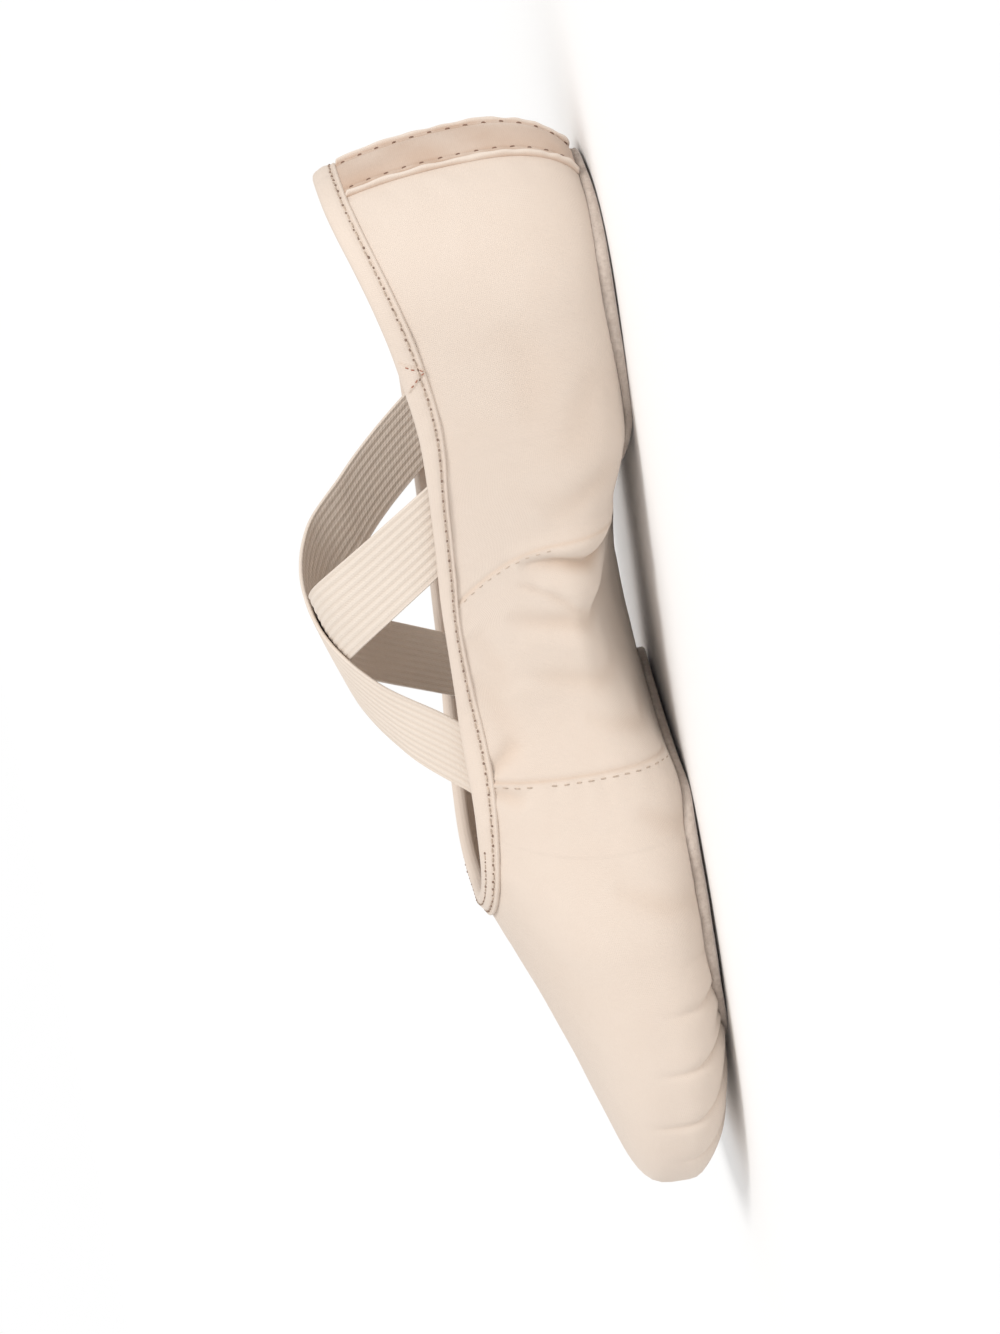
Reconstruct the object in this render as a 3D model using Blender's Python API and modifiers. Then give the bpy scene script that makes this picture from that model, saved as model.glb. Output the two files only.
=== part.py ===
"""Canvas ballet shoe with a split suede sole, for the right foot.

The shoe stands unbent on its sole, in the form that it has on a foot. The toe points along +X, the
inner side is at +Y, and the origin lies on the floor under the middle of the heel patch.

Every piece is read from one last: a plan outline with a half width for each side, and for each
station along it the height of its widest line, of its ridge and of its underside. An inset moves
the whole last inwards, so linings, pads and bands follow the same form.
"""
import math

import bmesh
import bpy
from mathutils import Vector

# Driving sizes of the last, in metres
LENGTH = 0.255
BALL_WIDTH = 0.090
INSTEP_HEIGHT = 0.082
ARCH_RISE = 0.013
TOE_SPRING = 0.004
HEEL_LIFT = 0.0015
TOE_SWING = 0.007

# Thicknesses and widths of the pieces, in metres
WALL = 0.0013
SOLE_THICK = 0.0015
INSOLE_THICK = 0.0016
BINDING_DEPTH = 0.0046
BINDING_THICK = 0.0009
HEEL_STRIP_WIDTH = 0.021
HEEL_STRIP_THICK = 0.0008
ELASTIC_WIDTH = 0.016
ELASTIC_THICK = 0.0010
ELASTIC_TUCK = 0.012
SEAM_HEIGHT = 0.0006
PLEAT_DEPTH = 0.0010
GAP = 0.0003
HEEL_PATCH_WIDTH = 0.049
FOREFOOT_PATCH_WIDTH = 0.073
INSOLE_MARGIN = 0.0045

# Shares of the length where the rounded heel ends and the rounded toe starts
HEEL_END = 0.13
TOE_START = 0.72
ORIGIN_AT = 0.155

# Share of the length where the toe starts to swing to the inner side
SWING_FROM = 0.45

# Exponents of the rounded forms: 2 is an ellipse, more is squarer
HEEL_ROUND = 2.15
TOE_ROUND = 2.55
CORNER = 2.20
FLAT_SHARE = 0.62

# Sections of the last. Stations are shares of LENGTH, inner and outer half widths are shares of
# BALL_WIDTH, and the heights of the widest line and of the ridge are shares of INSTEP_HEIGHT.
# Crown is the exponent of the upper side's form: the toe box is squarer than the instep.
SECTIONS = (
    ("at", "inner", "outer", "widest", "ridge", "crown"),
    (0.00, 0.345, 0.345, 0.30, 1.01, 2.2),
    (0.13, 0.345, 0.345, 0.27, 1.02, 2.2),
    (0.25, 0.340, 0.362, 0.25, 1.02, 2.2),
    (0.37, 0.318, 0.388, 0.26, 0.98, 2.2),
    (0.48, 0.322, 0.415, 0.25, 0.89, 2.2),
    (0.60, 0.410, 0.462, 0.22, 0.74, 2.2),
    (0.72, 0.495, 0.505, 0.19, 0.58, 2.25),
    (0.85, 0.495, 0.505, 0.175, 0.44, 2.8),
    (0.94, 0.495, 0.505, 0.170, 0.37, 3.8),
    (1.00, 0.495, 0.505, 0.165, 0.34, 4.4),
)

# Rise of the underside. The arch follows ARCH_RISE and the ends follow TOE_SPRING and HEEL_LIFT.
UNDERSIDE = (
    ("at", "arch", "toe", "heel"),
    (0.00, 0.0, 0.0, 1.0),
    (0.07, 0.0, 0.0, 0.0),
    (0.25, 0.0, 0.0, 0.0),
    (0.35, 0.60, 0.0, 0.0),
    (0.43, 1.0, 0.0, 0.0),
    (0.51, 0.62, 0.0, 0.0),
    (0.61, 0.0, 0.0, 0.0),
    (0.84, 0.0, 0.0, 0.0),
    (0.92, 0.0, 0.28, 0.0),
    (1.00, 0.0, 1.0, 0.0),
)

# Share of the arch's rise at the outer edge, and shares of the half width over which it grows
OUTER_ARCH = 0.22
ARCH_FROM = -0.55
ARCH_TO = 0.85

# Half width of the two openings under the suede patches, as a share of the last's half width
OPENINGS = (
    ("at", "share"),
    (0.00, 0.45),
    (0.18, 0.45),
    (0.255, 0.0),
    (0.60, 0.0),
    (0.68, 0.38),
    (1.00, 0.38),
)
LEAST_OPENING = 0.10

# Ribs of the upper on each side, from the heel seam to the toe. Each runs from the outline at one
# station to the collar at another, and reach is how far out the collar lies there, as a share of
# the half width.
RIBS = (
    ("rib", "outline", "collar", "inner_reach", "outer_reach"),
    (0, 0.000, 0.000, 0.850, 0.850),
    (1, 0.006, 0.006, 0.853, 0.853),
    (2, 0.024, 0.024, 0.865, 0.865),
    (3, 0.055, 0.055, 0.885, 0.887),
    (4, 0.095, 0.097, 0.905, 0.910),
    (5, 0.145, 0.155, 0.922, 0.930),
    (6, 0.205, 0.230, 0.932, 0.942),
    (7, 0.270, 0.315, 0.927, 0.940),
    (8, 0.340, 0.395, 0.912, 0.930),
    (9, 0.410, 0.455, 0.893, 0.915),
    (10, 0.480, 0.505, 0.868, 0.892),
    (11, 0.555, 0.552, 0.828, 0.853),
    (12, 0.620, 0.597, 0.760, 0.780),
    (13, 0.685, 0.636, 0.665, 0.680),
    (14, 0.755, 0.664, 0.545, 0.560),
    (15, 0.825, 0.682, 0.410, 0.420),
    (16, 0.890, 0.693, 0.275, 0.280),
    (17, 0.945, 0.699, 0.160, 0.160),
    (18, 0.985, 0.702, 0.070, 0.070),
    (19, 1.000, 0.703, 0.000, 0.000),
)
LAST_RIB = 19
FIRST_TOE_RIB = 13
SEAM_RIBS = (8, 11)
SEAM_REACH = 0.12
SEAM_FOOT = 0.80
FLAT_ROWS = 2
CORNER_ROWS = 5
UPPER_ROWS = 7

# Pleats run under the toe, on the ribs past the first one. They start and are full at shares of
# the half width on the underside, and fade over so many rows above the widest line.
FIRST_PLEAT_RIB = 14
PLEAT_START = 0.62
PLEAT_FULL = 0.80
PLEAT_FADE = 2.5

# Outlines of the two suede patches. Ends are shares of LENGTH, the widest place is a share of it
# too, taper is the width left at the arch end, and slant is how far that end runs forward on the
# inner side, as a share of the width. Rounding is an exponent for the outer end and the arch end.
HEEL_PATCH = {"back": 0.038, "widest": 0.130, "front": 0.302, "taper": 0.66, "slant": 0.13,
              "back_round": 2.15, "front_round": 3.6, "arch_end": 1}
FOREFOOT_PATCH = {"back": 0.562, "widest": 0.735, "front": 0.876, "taper": 0.80, "slant": 0.10,
                  "back_round": 5.5, "front_round": 2.15, "arch_end": -1}
PATCH_SPOKES = 36
PATCH_RINGS = (0.0, 0.40, 0.66, 0.82, 0.92, 1.0)

# The heel strip ends just outside the heel patch, whose own outline is at level 1
STRIP_STRANDS = 6
STRIP_ROWS = 14
STRIP_CLEAR = 1.09

# Elastic bands. Stations of the ends are shares of LENGTH.
ELASTIC_BACK = 0.270
ELASTIC_FRONT = 0.575
ELASTIC_STEPS = 28
ELASTIC_STRANDS = 4
CROSSING_REACH = 0.017
CROSSING_FADE = 0.012

# Height of the tape's round top, as a share of its full reach
TAPE_CROWN = 0.92

FINE_STEPS = 48
MERGE = 0.00001

# Colours
CANVAS = (0.890, 0.745, 0.620)
BINDING_CANVAS = (0.900, 0.765, 0.640)
STRIP_CANVAS = (0.830, 0.640, 0.520)
SUEDE = (0.760, 0.680, 0.620)
LINING = (0.850, 0.760, 0.680)
ELASTIC = (0.780, 0.650, 0.550)


class Curve:
    """One column of a table as a smooth curve that doesn't overshoot its rows."""

    def __init__(self, table, column):
        place = table[0].index(column)
        self.at = [row[0] for row in table[1:]]
        self.value = [row[place] for row in table[1:]]
        count = len(self.at)
        steps = [(self.value[i + 1] - self.value[i]) / (self.at[i + 1] - self.at[i])
                 for i in range(count - 1)]
        self.slope = [0.0] * count
        for i in range(1, count - 1):
            if steps[i - 1] * steps[i] > 0:
                self.slope[i] = 2 * steps[i - 1] * steps[i] / (steps[i - 1] + steps[i])

    def __call__(self, at):
        at = min(max(at, self.at[0]), self.at[-1])
        i = 0
        while i < len(self.at) - 2 and at > self.at[i + 1]:
            i += 1
        span = self.at[i + 1] - self.at[i]
        t = (at - self.at[i]) / span
        start = (1 + 2 * t) * (1 - t) ** 2 * self.value[i] + t * (1 - t) ** 2 * span * self.slope[i]
        end = t * t * (3 - 2 * t) * self.value[i + 1] - t * t * (1 - t) * span * self.slope[i + 1]
        return start + end


INNER_HALF = Curve(SECTIONS, "inner")
OUTER_HALF = Curve(SECTIONS, "outer")
WIDEST = Curve(SECTIONS, "widest")
RIDGE = Curve(SECTIONS, "ridge")
CROWN = Curve(SECTIONS, "crown")
ARCH = Curve(UNDERSIDE, "arch")
TOE_UP = Curve(UNDERSIDE, "toe")
HEEL_UP = Curve(UNDERSIDE, "heel")
OPENING = Curve(OPENINGS, "share")
RIB_OUTLINE = Curve(RIBS, "outline")
RIB_COLLAR = Curve(RIBS, "collar")
RIB_REACH = {1: Curve(RIBS, "inner_reach"), -1: Curve(RIBS, "outer_reach")}


def ease(value):
    """A soft step from 0 to 1."""
    value = min(max(value, 0.0), 1.0)
    return value * value * (3 - 2 * value)


def half_width(at, side, inset):
    """Half width of the last at a station, on the inner side (1) or the outer side (-1)."""
    curve = INNER_HALF if side > 0 else OUTER_HALF
    return BALL_WIDTH * curve(min(max(at, HEEL_END), TOE_START)) - inset


def plan_point(at, side, share, inset):
    """A plan point, a share of the way from the ridge to the outline's point at a station."""
    wide = half_width(at, side, inset)
    if at < HEEL_END:
        along = (HEEL_END - at) / HEEL_END
        across = (1 - along ** HEEL_ROUND) ** (1 / HEEL_ROUND)
        return HEEL_END * LENGTH - share * along * (HEEL_END * LENGTH - inset), side * share * wide * across
    if at > TOE_START:
        along = (at - TOE_START) / (1 - TOE_START)
        across = max(0.0, 1 - along ** TOE_ROUND) ** (1 / TOE_ROUND)
        reach = (1 - TOE_START) * LENGTH - inset
        return TOE_START * LENGTH + share * along * reach, side * share * wide * across
    return at * LENGTH, side * share * wide


def edge_share(x, across, inset):
    """How far out a plan point lies: 0 on the ridge and 1 on the outline."""
    at = x / LENGTH
    wide = half_width(at, 1 if across >= 0 else -1, inset)
    out = abs(across) / wide
    if at < HEEL_END:
        along = (HEEL_END * LENGTH - x) / (HEEL_END * LENGTH - inset)
        out = (along ** HEEL_ROUND + out ** HEEL_ROUND) ** (1 / HEEL_ROUND)
    elif at > TOE_START:
        along = (x - TOE_START * LENGTH) / ((1 - TOE_START) * LENGTH - inset)
        out = (along ** TOE_ROUND + out ** TOE_ROUND) ** (1 / TOE_ROUND)
    return min(out, 1.0)


def top_height(x, across, inset):
    """Height of the last above its widest line."""
    at = x / LENGTH
    low = INSTEP_HEIGHT * WIDEST(at)
    high = INSTEP_HEIGHT * RIDGE(at) - inset
    crown = CROWN(at)
    return low + (high - low) * (1 - edge_share(x, across, inset) ** crown) ** (1 / crown)


def underside_height(x, across, inset):
    """Height of the last below its widest line: flat in the middle, round at the edge."""
    at = x / LENGTH
    side = 1 if across >= 0 else -1
    spread = (across / half_width(at, side, 0.0) - ARCH_FROM) / (ARCH_TO - ARCH_FROM)
    arch = ARCH(at) * (OUTER_ARCH + (1 - OUTER_ARCH) * ease(spread))
    low = SOLE_THICK + GAP + inset + ARCH_RISE * arch + TOE_SPRING * TOE_UP(at) + HEEL_LIFT * HEEL_UP(at)
    high = INSTEP_HEIGHT * WIDEST(at)
    out = max(0.0, (edge_share(x, across, inset) - FLAT_SHARE) / (1 - FLAT_SHARE))
    return high - (high - low) * (1 - out ** CORNER) ** (1 / CORNER)


def place(x, across, height):
    """A point of the last in the shoe's frame, with the toe swung to the inner side."""
    swing = TOE_SWING * ((max(x / LENGTH, SWING_FROM) - SWING_FROM) / (1 - SWING_FROM)) ** 2
    return Vector((x - ORIGIN_AT * LENGTH, across + swing, height))


def even_points(points, count):
    """The same line with points evenly spaced along it."""
    lengths = [0.0]
    for a, b in zip(points, points[1:]):
        lengths.append(lengths[-1] + (b - a).length)
    result = []
    k = 0
    for i in range(count + 1):
        want = lengths[-1] * i / count
        while k < len(points) - 2 and lengths[k + 1] < want:
            k += 1
        span = max(lengths[k + 1] - lengths[k], 1e-12)
        result.append(points[k].lerp(points[k + 1], min(max((want - lengths[k]) / span, 0.0), 1.0)))
    return result


def rib_flat(rib, side, opening, inset):
    """Points of a rib on the middle of the underside, from its opening to where the corner starts."""
    points = []
    for i in range(FLAT_ROWS + 1):
        share = opening + (FLAT_SHARE - opening) * i / FLAT_ROWS
        x, across = plan_point(RIB_OUTLINE(rib), side, share, inset)
        points.append(place(x, across, underside_height(x, across, inset)))
    return points


def rib_corner(rib, side, inset):
    """Points of a rib round the lower corner, from the flat middle out to the outline."""
    points = []
    for i in range(FINE_STEPS + 1):
        share = FLAT_SHARE + (1 - FLAT_SHARE) * math.sin(math.pi / 2 * i / FINE_STEPS)
        x, across = plan_point(RIB_OUTLINE(rib), side, share, inset)
        points.append(place(x, across, underside_height(x, across, inset)))
    return points


def rib_over(rib, side, inset):
    """Points of a rib from the outline up to the collar."""
    start = plan_point(RIB_OUTLINE(rib), side, 1.0, inset)
    end = plan_point(RIB_COLLAR(rib), side, RIB_REACH[side](rib), inset)
    points = []
    for i in range(FINE_STEPS + 1):
        t = 1 - math.cos(math.pi / 2 * i / FINE_STEPS)
        x = start[0] + (end[0] - start[0]) * t
        across = start[1] + (end[1] - start[1]) * t
        points.append(place(x, across, top_height(x, across, inset)))
    return points


def rib_numbers():
    """Places of the upper's ribs on one side, closer at the seams and round the toe."""
    numbers = {i / 2 for i in range(2 * FIRST_TOE_RIB)}
    numbers |= {FIRST_TOE_RIB + i / 3 for i in range(3 * (LAST_RIB - FIRST_TOE_RIB) + 1)}
    for seam in SEAM_RIBS:
        numbers |= {seam - SEAM_REACH, seam + SEAM_REACH}
    return sorted(numbers)


def loop_ribs():
    """Every rib round the shoe as (number, side): up the inner side and back down the outer one."""
    numbers = rib_numbers()
    return [(n, 1) for n in numbers] + [(n, -1) for n in reversed(numbers[1:-1])]


def normals(columns):
    """Outward normals of a closed ring of columns of points, each from the sole to the collar."""
    result = []
    for c, column in enumerate(columns):
        after = columns[(c + 1) % len(columns)]
        before = columns[c - 1]
        line = []
        for r in range(len(column)):
            round_way = after[r] - before[r]
            up_way = column[min(r + 1, len(column) - 1)] - column[max(r - 1, 0)]
            line.append(up_way.cross(round_way).normalized())
        result.append(line)
    return result


def sheet(name, columns, closed, colour, thickness=0.0, offset=-1.0):
    """An object from columns of points, with Solidify where a thickness is given."""
    mesh = bpy.data.meshes.new(name)
    work = bmesh.new()
    grid = [[work.verts.new(point) for point in column] for column in columns]
    count = len(grid)
    for c in range(count if closed else count - 1):
        here, there = grid[c], grid[(c + 1) % count]
        for r in range(len(here) - 1):
            work.faces.new((here[r], here[r + 1], there[r + 1], there[r]))
    bmesh.ops.remove_doubles(work, verts=work.verts, dist=MERGE)
    bmesh.ops.dissolve_degenerate(work, edges=work.edges, dist=MERGE)
    work.to_mesh(mesh)
    work.free()
    mesh.shade_smooth()
    mesh.materials.append(finish(name + "_finish", colour))
    thing = bpy.data.objects.new(name, mesh)
    shoe.objects.link(thing)
    if thickness:
        shell = thing.modifiers.new("thickness", "SOLIDIFY")
        shell.thickness = thickness
        shell.offset = offset
        shell.use_even_offset = True
    return thing


def finish(name, colour):
    """A plain matt material."""
    material = bpy.data.materials.new(name)
    material.use_nodes = True
    shader = material.node_tree.nodes["Principled BSDF"]
    shader.inputs["Base Color"].default_value = (*colour, 1.0)
    shader.inputs["Roughness"].default_value = 0.9
    shader.inputs["Metallic"].default_value = 0.0
    return material


def pleat_ribs():
    """Every second rib under the toe, which lies in a trough between two pleats."""
    numbers = [n for n in rib_numbers() if n > FIRST_PLEAT_RIB]
    return set(numbers[-2::-2])


def make_upper():
    """The canvas wall with its raised arch seams, its pleats and its two openings underneath."""
    ribs = loop_ribs()
    troughs = pleat_ribs()
    columns, bumps = [], []
    for rib, side in ribs:
        opening = OPENING(RIB_OUTLINE(rib))
        if opening < LEAST_OPENING:
            opening = 0.0
        flat = rib_flat(rib, side, opening, 0.0)
        corner = even_points(rib_corner(rib, side, 0.0), CORNER_ROWS)
        over = even_points(rib_over(rib, side, 0.0), UPPER_ROWS)
        columns.append(flat + corner[1:] + over[1:])
        line = []
        for point in columns[-1][:FLAT_ROWS + CORNER_ROWS + 1]:
            x, across = plan_place(point)
            share = edge_share(x, across, 0.0)
            seam = SEAM_HEIGHT * ease((share - SEAM_FOOT) / (1 - SEAM_FOOT)) if rib in SEAM_RIBS else 0.0
            pleat = PLEAT_DEPTH * ease((share - PLEAT_START) / (PLEAT_FULL - PLEAT_START))
            line.append(seam - (pleat if rib in troughs else 0.0))
        for r in range(1, UPPER_ROWS + 1):
            seam = SEAM_HEIGHT if rib in SEAM_RIBS and r < UPPER_ROWS - 1 else 0.0
            pleat = PLEAT_DEPTH * ease(1 - r / PLEAT_FADE)
            line.append(seam - (pleat if rib in troughs else 0.0))
        bumps.append(line)
    outward = normals(columns)
    for column, way, line in zip(columns, outward, bumps):
        for r, bump in enumerate(line):
            column[r] = column[r] + way[r] * bump
    sheet("upper", columns, True, CANVAS, WALL)


def plan_place(point):
    """Station along the last and distance across it for a point in the shoe's frame."""
    x = point.x + ORIGIN_AT * LENGTH
    return x, point.y - place(x, 0.0, 0.0).y


def collar_lines(depths):
    """Points on the outer face at depths below the collar edge, with their normals, for each rib."""
    points = []
    for rib, side in loop_ribs():
        line = list(reversed(rib_over(rib, side, 0.0)))
        column = []
        for depth in reversed(depths):
            column.append(point_along(line, depth))
        points.append(column)
    return points, normals(points)


def point_along(line, distance):
    """The point at a distance along a line of points."""
    for a, b in zip(line, line[1:]):
        step = (b - a).length
        if distance <= step:
            return a.lerp(b, distance / max(step, 1e-12))
        distance -= step
    return line[-1]


def make_binding():
    """The folded tape over the collar edge: an outer leg, a round top and an inner leg."""
    depths = (0.0, BINDING_DEPTH)
    points, outward = collar_lines(depths)
    near, far = GAP, GAP + BINDING_THICK
    columns = []
    for (low, top), (low_way, top_way) in zip(points, outward):
        up = (top - low).normalized()
        section = [
            low + low_way * near,
            top + top_way * near + up * near,
            top - top_way * (WALL + near) + up * near,
            low - low_way * (WALL + near),
            low - low_way * (WALL + far),
            top - top_way * (WALL + far),
            top - top_way * (WALL + near) + up * far * TAPE_CROWN,
            top + top_way * near + up * far * TAPE_CROWN,
            top + top_way * far,
            low + low_way * far,
        ]
        columns.append(list(reversed(section + section[:1])))
    sheet("collar_binding", columns, True, BINDING_CANVAS)


def rib_at_width(across):
    """The rib whose outline point lies at a distance to the side of the heel seam."""
    out = min(abs(across) / half_width(0.0, 1, 0.0), 1.0)
    at = HEEL_END * (1 - (1 - out ** HEEL_ROUND) ** (1 / HEEL_ROUND))
    low, high = 0.0, float(LAST_RIB)
    for _ in range(FINE_STEPS):
        middle = (low + high) / 2
        if RIB_OUTLINE(middle) < at:
            low = middle
        else:
            high = middle
    return (low + high) / 2


def patch_level(patch, width, x, across):
    """Below 1 inside a patch's outline near its outer end, and above 1 outside it."""
    widest = patch["widest"] * LENGTH
    back = widest - patch["back"] * LENGTH
    along = abs(x - widest) / back
    out = abs(across) / (width / 2)
    return along ** patch["back_round"] + out ** patch["back_round"]


def make_heel_strip():
    """The back strip from the binding down to the heel patch, laid on the outside of the wall."""
    columns = []
    for k in range(STRIP_STRANDS + 1):
        across = HEEL_STRIP_WIDTH * (k / STRIP_STRANDS - 0.5)
        side = 1 if across >= 0 else -1
        rib = rib_at_width(across)
        over = list(reversed(rib_over(rib, side, 0.0)))
        start = point_along(over, BINDING_DEPTH + GAP)
        kept = [point for point in over if point.z < start.z - MERGE]
        under = []
        for point in reversed(rib_corner(rib, side, 0.0)):
            x, y = plan_place(point)
            if patch_level(HEEL_PATCH, HEEL_PATCH_WIDTH, x, y) < STRIP_CLEAR:
                break
            under.append(point)
        line = even_points([start] + kept + under[1:], STRIP_ROWS)
        columns.append(list(reversed(line)))
    outward = []
    for c, column in enumerate(columns):
        after = columns[min(c + 1, STRIP_STRANDS)]
        before = columns[max(c - 1, 0)]
        line = []
        for r in range(STRIP_ROWS + 1):
            up_way = column[min(r + 1, STRIP_ROWS)] - column[max(r - 1, 0)]
            line.append(up_way.cross(after[r] - before[r]).normalized())
        outward.append(line)
    laid = [[p + n * GAP for p, n in zip(column, ways)] for column, ways in zip(columns, outward)]
    sheet("heel_strip", laid, False, STRIP_CANVAS, HEEL_STRIP_THICK, 1.0)


def patch_outline(patch, width, spoke, margin):
    """A plan point on a patch's outline, with the outline grown by a margin."""
    turn = 2 * math.pi * spoke / PATCH_SPOKES
    ahead, aside = math.cos(turn), math.sin(turn)
    power = 2 / (patch["front_round"] if ahead > 0 else patch["back_round"])
    along = math.copysign(abs(ahead) ** power, ahead)
    out = math.copysign(abs(aside) ** power, aside)
    widest = patch["widest"] * LENGTH
    end = patch["front"] if ahead > 0 else patch["back"]
    reach = abs(end * LENGTH - widest) + margin
    to_arch = max(0.0, along * patch["arch_end"])
    narrow = 1 - (1 - patch["taper"]) * to_arch ** 1.5
    x = widest + along * reach + patch["slant"] * width * out * to_arch ** 2
    return x, out * narrow * (width / 2 + margin)


def make_pad(name, patch, width, margin, inset, thickness, offset, colour):
    """A patch or pad that follows the underside of the last at an inset."""
    columns = []
    middle = (patch["back"] + patch["front"]) / 2 * LENGTH
    for spoke in range(PATCH_SPOKES):
        x, across = patch_outline(patch, width, spoke, margin)
        line = []
        for ring in PATCH_RINGS:
            along = middle + (x - middle) * ring
            line.append(place(along, across * ring, underside_height(along, across * ring, inset)))
        columns.append(line)
    sheet(name, columns, True, colour, thickness, offset)


def section_line(at, side, inset):
    """Points of the last's section above its widest line, from the ridge down to the side."""
    wide = half_width(at, side, inset)
    low = INSTEP_HEIGHT * WIDEST(at)
    high = INSTEP_HEIGHT * RIDGE(at) - inset
    power = 2 / CROWN(at)
    line = []
    for i in range(FINE_STEPS + 1):
        turn = math.pi / 2 * i / FINE_STEPS
        out = math.sin(turn) ** power
        line.append(place(at * LENGTH, side * out * wide, low + (high - low) * math.cos(turn) ** power))
    return line


def collar_depth(station, side, inset):
    """Length over the instep from the ridge to the collar edge at a station."""
    low, high = 0.0, float(LAST_RIB)
    for _ in range(FINE_STEPS):
        rib = (low + high) / 2
        if RIB_COLLAR(rib) < station:
            low = rib
        else:
            high = rib
    reach = RIB_REACH[side](low)
    line = section_line(station, side, inset)
    length = 0.0
    for a, b in zip(line, line[1:]):
        x, across = plan_place(b)
        if edge_share(x, across, inset) > reach:
            break
        length += (b - a).length
    return length


def make_elastic(name, start_side, lift):
    """A flat band over the instep from one side's back to the other side's front."""
    inset = WALL + 3 * GAP + BINDING_THICK
    back = collar_depth(ELASTIC_BACK, start_side, inset) + ELASTIC_TUCK
    front = collar_depth(ELASTIC_FRONT, -start_side, inset) + ELASTIC_TUCK
    run = Vector(((ELASTIC_FRONT - ELASTIC_BACK) * LENGTH, -(back + front)))
    along_way = run.normalized()
    wide_way = Vector((-along_way.y, along_way.x))
    columns = []
    for k in range(ELASTIC_STRANDS + 1):
        shift = ELASTIC_WIDTH * (k / ELASTIC_STRANDS - 0.5)
        line = []
        for i in range(ELASTIC_STEPS + 1):
            t = i / ELASTIC_STEPS
            x = ELASTIC_BACK * LENGTH + run.x * t + wide_way.x * shift
            over = back + run.y * t + wide_way.y * shift
            side = start_side if over >= 0 else -start_side
            raised = lift * (1 - ease((abs(over) - CROSSING_REACH) / CROSSING_FADE))
            line.append(point_along(section_line(x / LENGTH, side, inset - raised), abs(over)))
        columns.append(line)
    if start_side < 0:
        columns.reverse()
    sheet(name, columns, False, ELASTIC, ELASTIC_THICK, -1.0)


for old in list(bpy.data.objects):
    bpy.data.objects.remove(old)

shoe = bpy.data.collections.new("canvas_ballet_shoe")
bpy.context.scene.collection.children.link(shoe)

make_upper()
make_binding()
make_heel_strip()
make_pad("sole_heel", HEEL_PATCH, HEEL_PATCH_WIDTH, 0.0, -GAP, SOLE_THICK, -1.0, SUEDE)
make_pad("sole_forefoot", FOREFOOT_PATCH, FOREFOOT_PATCH_WIDTH, 0.0, -GAP, SOLE_THICK, -1.0, SUEDE)
make_pad("insole_heel", HEEL_PATCH, HEEL_PATCH_WIDTH, -INSOLE_MARGIN, WALL + 2 * GAP, INSOLE_THICK,
         1.0, LINING)
make_pad("insole_forefoot", FOREFOOT_PATCH, FOREFOOT_PATCH_WIDTH, -INSOLE_MARGIN, WALL + 2 * GAP,
         INSOLE_THICK, 1.0, LINING)
make_elastic("elastic_inner", 1, 0.0)
make_elastic("elastic_outer", -1, ELASTIC_THICK + 1.5 * GAP)
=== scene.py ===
"""Looks of the canvas ballet shoe: fine cloth, suede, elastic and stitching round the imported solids.

The last is the one that the solids follow, so each fine piece lies where its solid lies. Sizes are
in metres in the shoe's own frame: the toe points along +X and the inner side is at +Y.
"""
import math

import bmesh
import bpy
import numpy as np
from mathutils import Matrix, Vector
from mathutils.bvhtree import BVHTree


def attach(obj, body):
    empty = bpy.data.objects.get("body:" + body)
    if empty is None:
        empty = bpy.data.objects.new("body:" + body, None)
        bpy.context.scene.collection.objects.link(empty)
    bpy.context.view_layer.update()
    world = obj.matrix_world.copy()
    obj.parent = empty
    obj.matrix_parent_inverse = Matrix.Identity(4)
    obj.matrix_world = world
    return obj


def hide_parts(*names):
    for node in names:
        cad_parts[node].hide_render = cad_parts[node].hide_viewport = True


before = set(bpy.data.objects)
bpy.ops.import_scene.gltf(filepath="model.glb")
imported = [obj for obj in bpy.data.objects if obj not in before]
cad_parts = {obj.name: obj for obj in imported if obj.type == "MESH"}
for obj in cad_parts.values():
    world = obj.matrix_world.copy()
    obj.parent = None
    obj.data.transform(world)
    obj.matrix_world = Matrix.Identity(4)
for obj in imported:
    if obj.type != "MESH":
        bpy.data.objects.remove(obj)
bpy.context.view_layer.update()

MM = 0.001
RANDOM = np.random.default_rng(7)

# Sizes of the last and of the pieces, as the solids have them
LENGTH = 0.255
BALL_WIDTH = 0.090
INSTEP_HEIGHT = 0.082
ARCH_RISE = 0.013
TOE_SPRING = 0.004
HEEL_LIFT = 0.0015
TOE_SWING = 0.007
WALL = 0.0013
SOLE_THICK = 0.0015
INSOLE_THICK = 0.0016
BINDING_DEPTH = 0.0046
BINDING_THICK = 0.0009
HEEL_STRIP_WIDTH = 0.021
ELASTIC_WIDTH = 0.016
ELASTIC_THICK = 0.0010
ELASTIC_TUCK = 0.012
GAP = 0.0003
INSOLE_MARGIN = 0.0045
HEEL_END = 0.13
TOE_START = 0.72
ORIGIN_AT = 0.155
SWING_FROM = 0.45
HEEL_ROUND = 2.15
TOE_ROUND = 2.55
CORNER = 2.20
FLAT_SHARE = 0.62
OUTER_ARCH = 0.22
ARCH_FROM = -0.55
ARCH_TO = 0.85
LEAST_OPENING = 0.10
LAST_RIB = 19.0
ELASTIC_BACK = 0.270
ELASTIC_FRONT = 0.575
CROSSING_REACH = 0.017
CROSSING_FADE = 0.012

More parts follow.
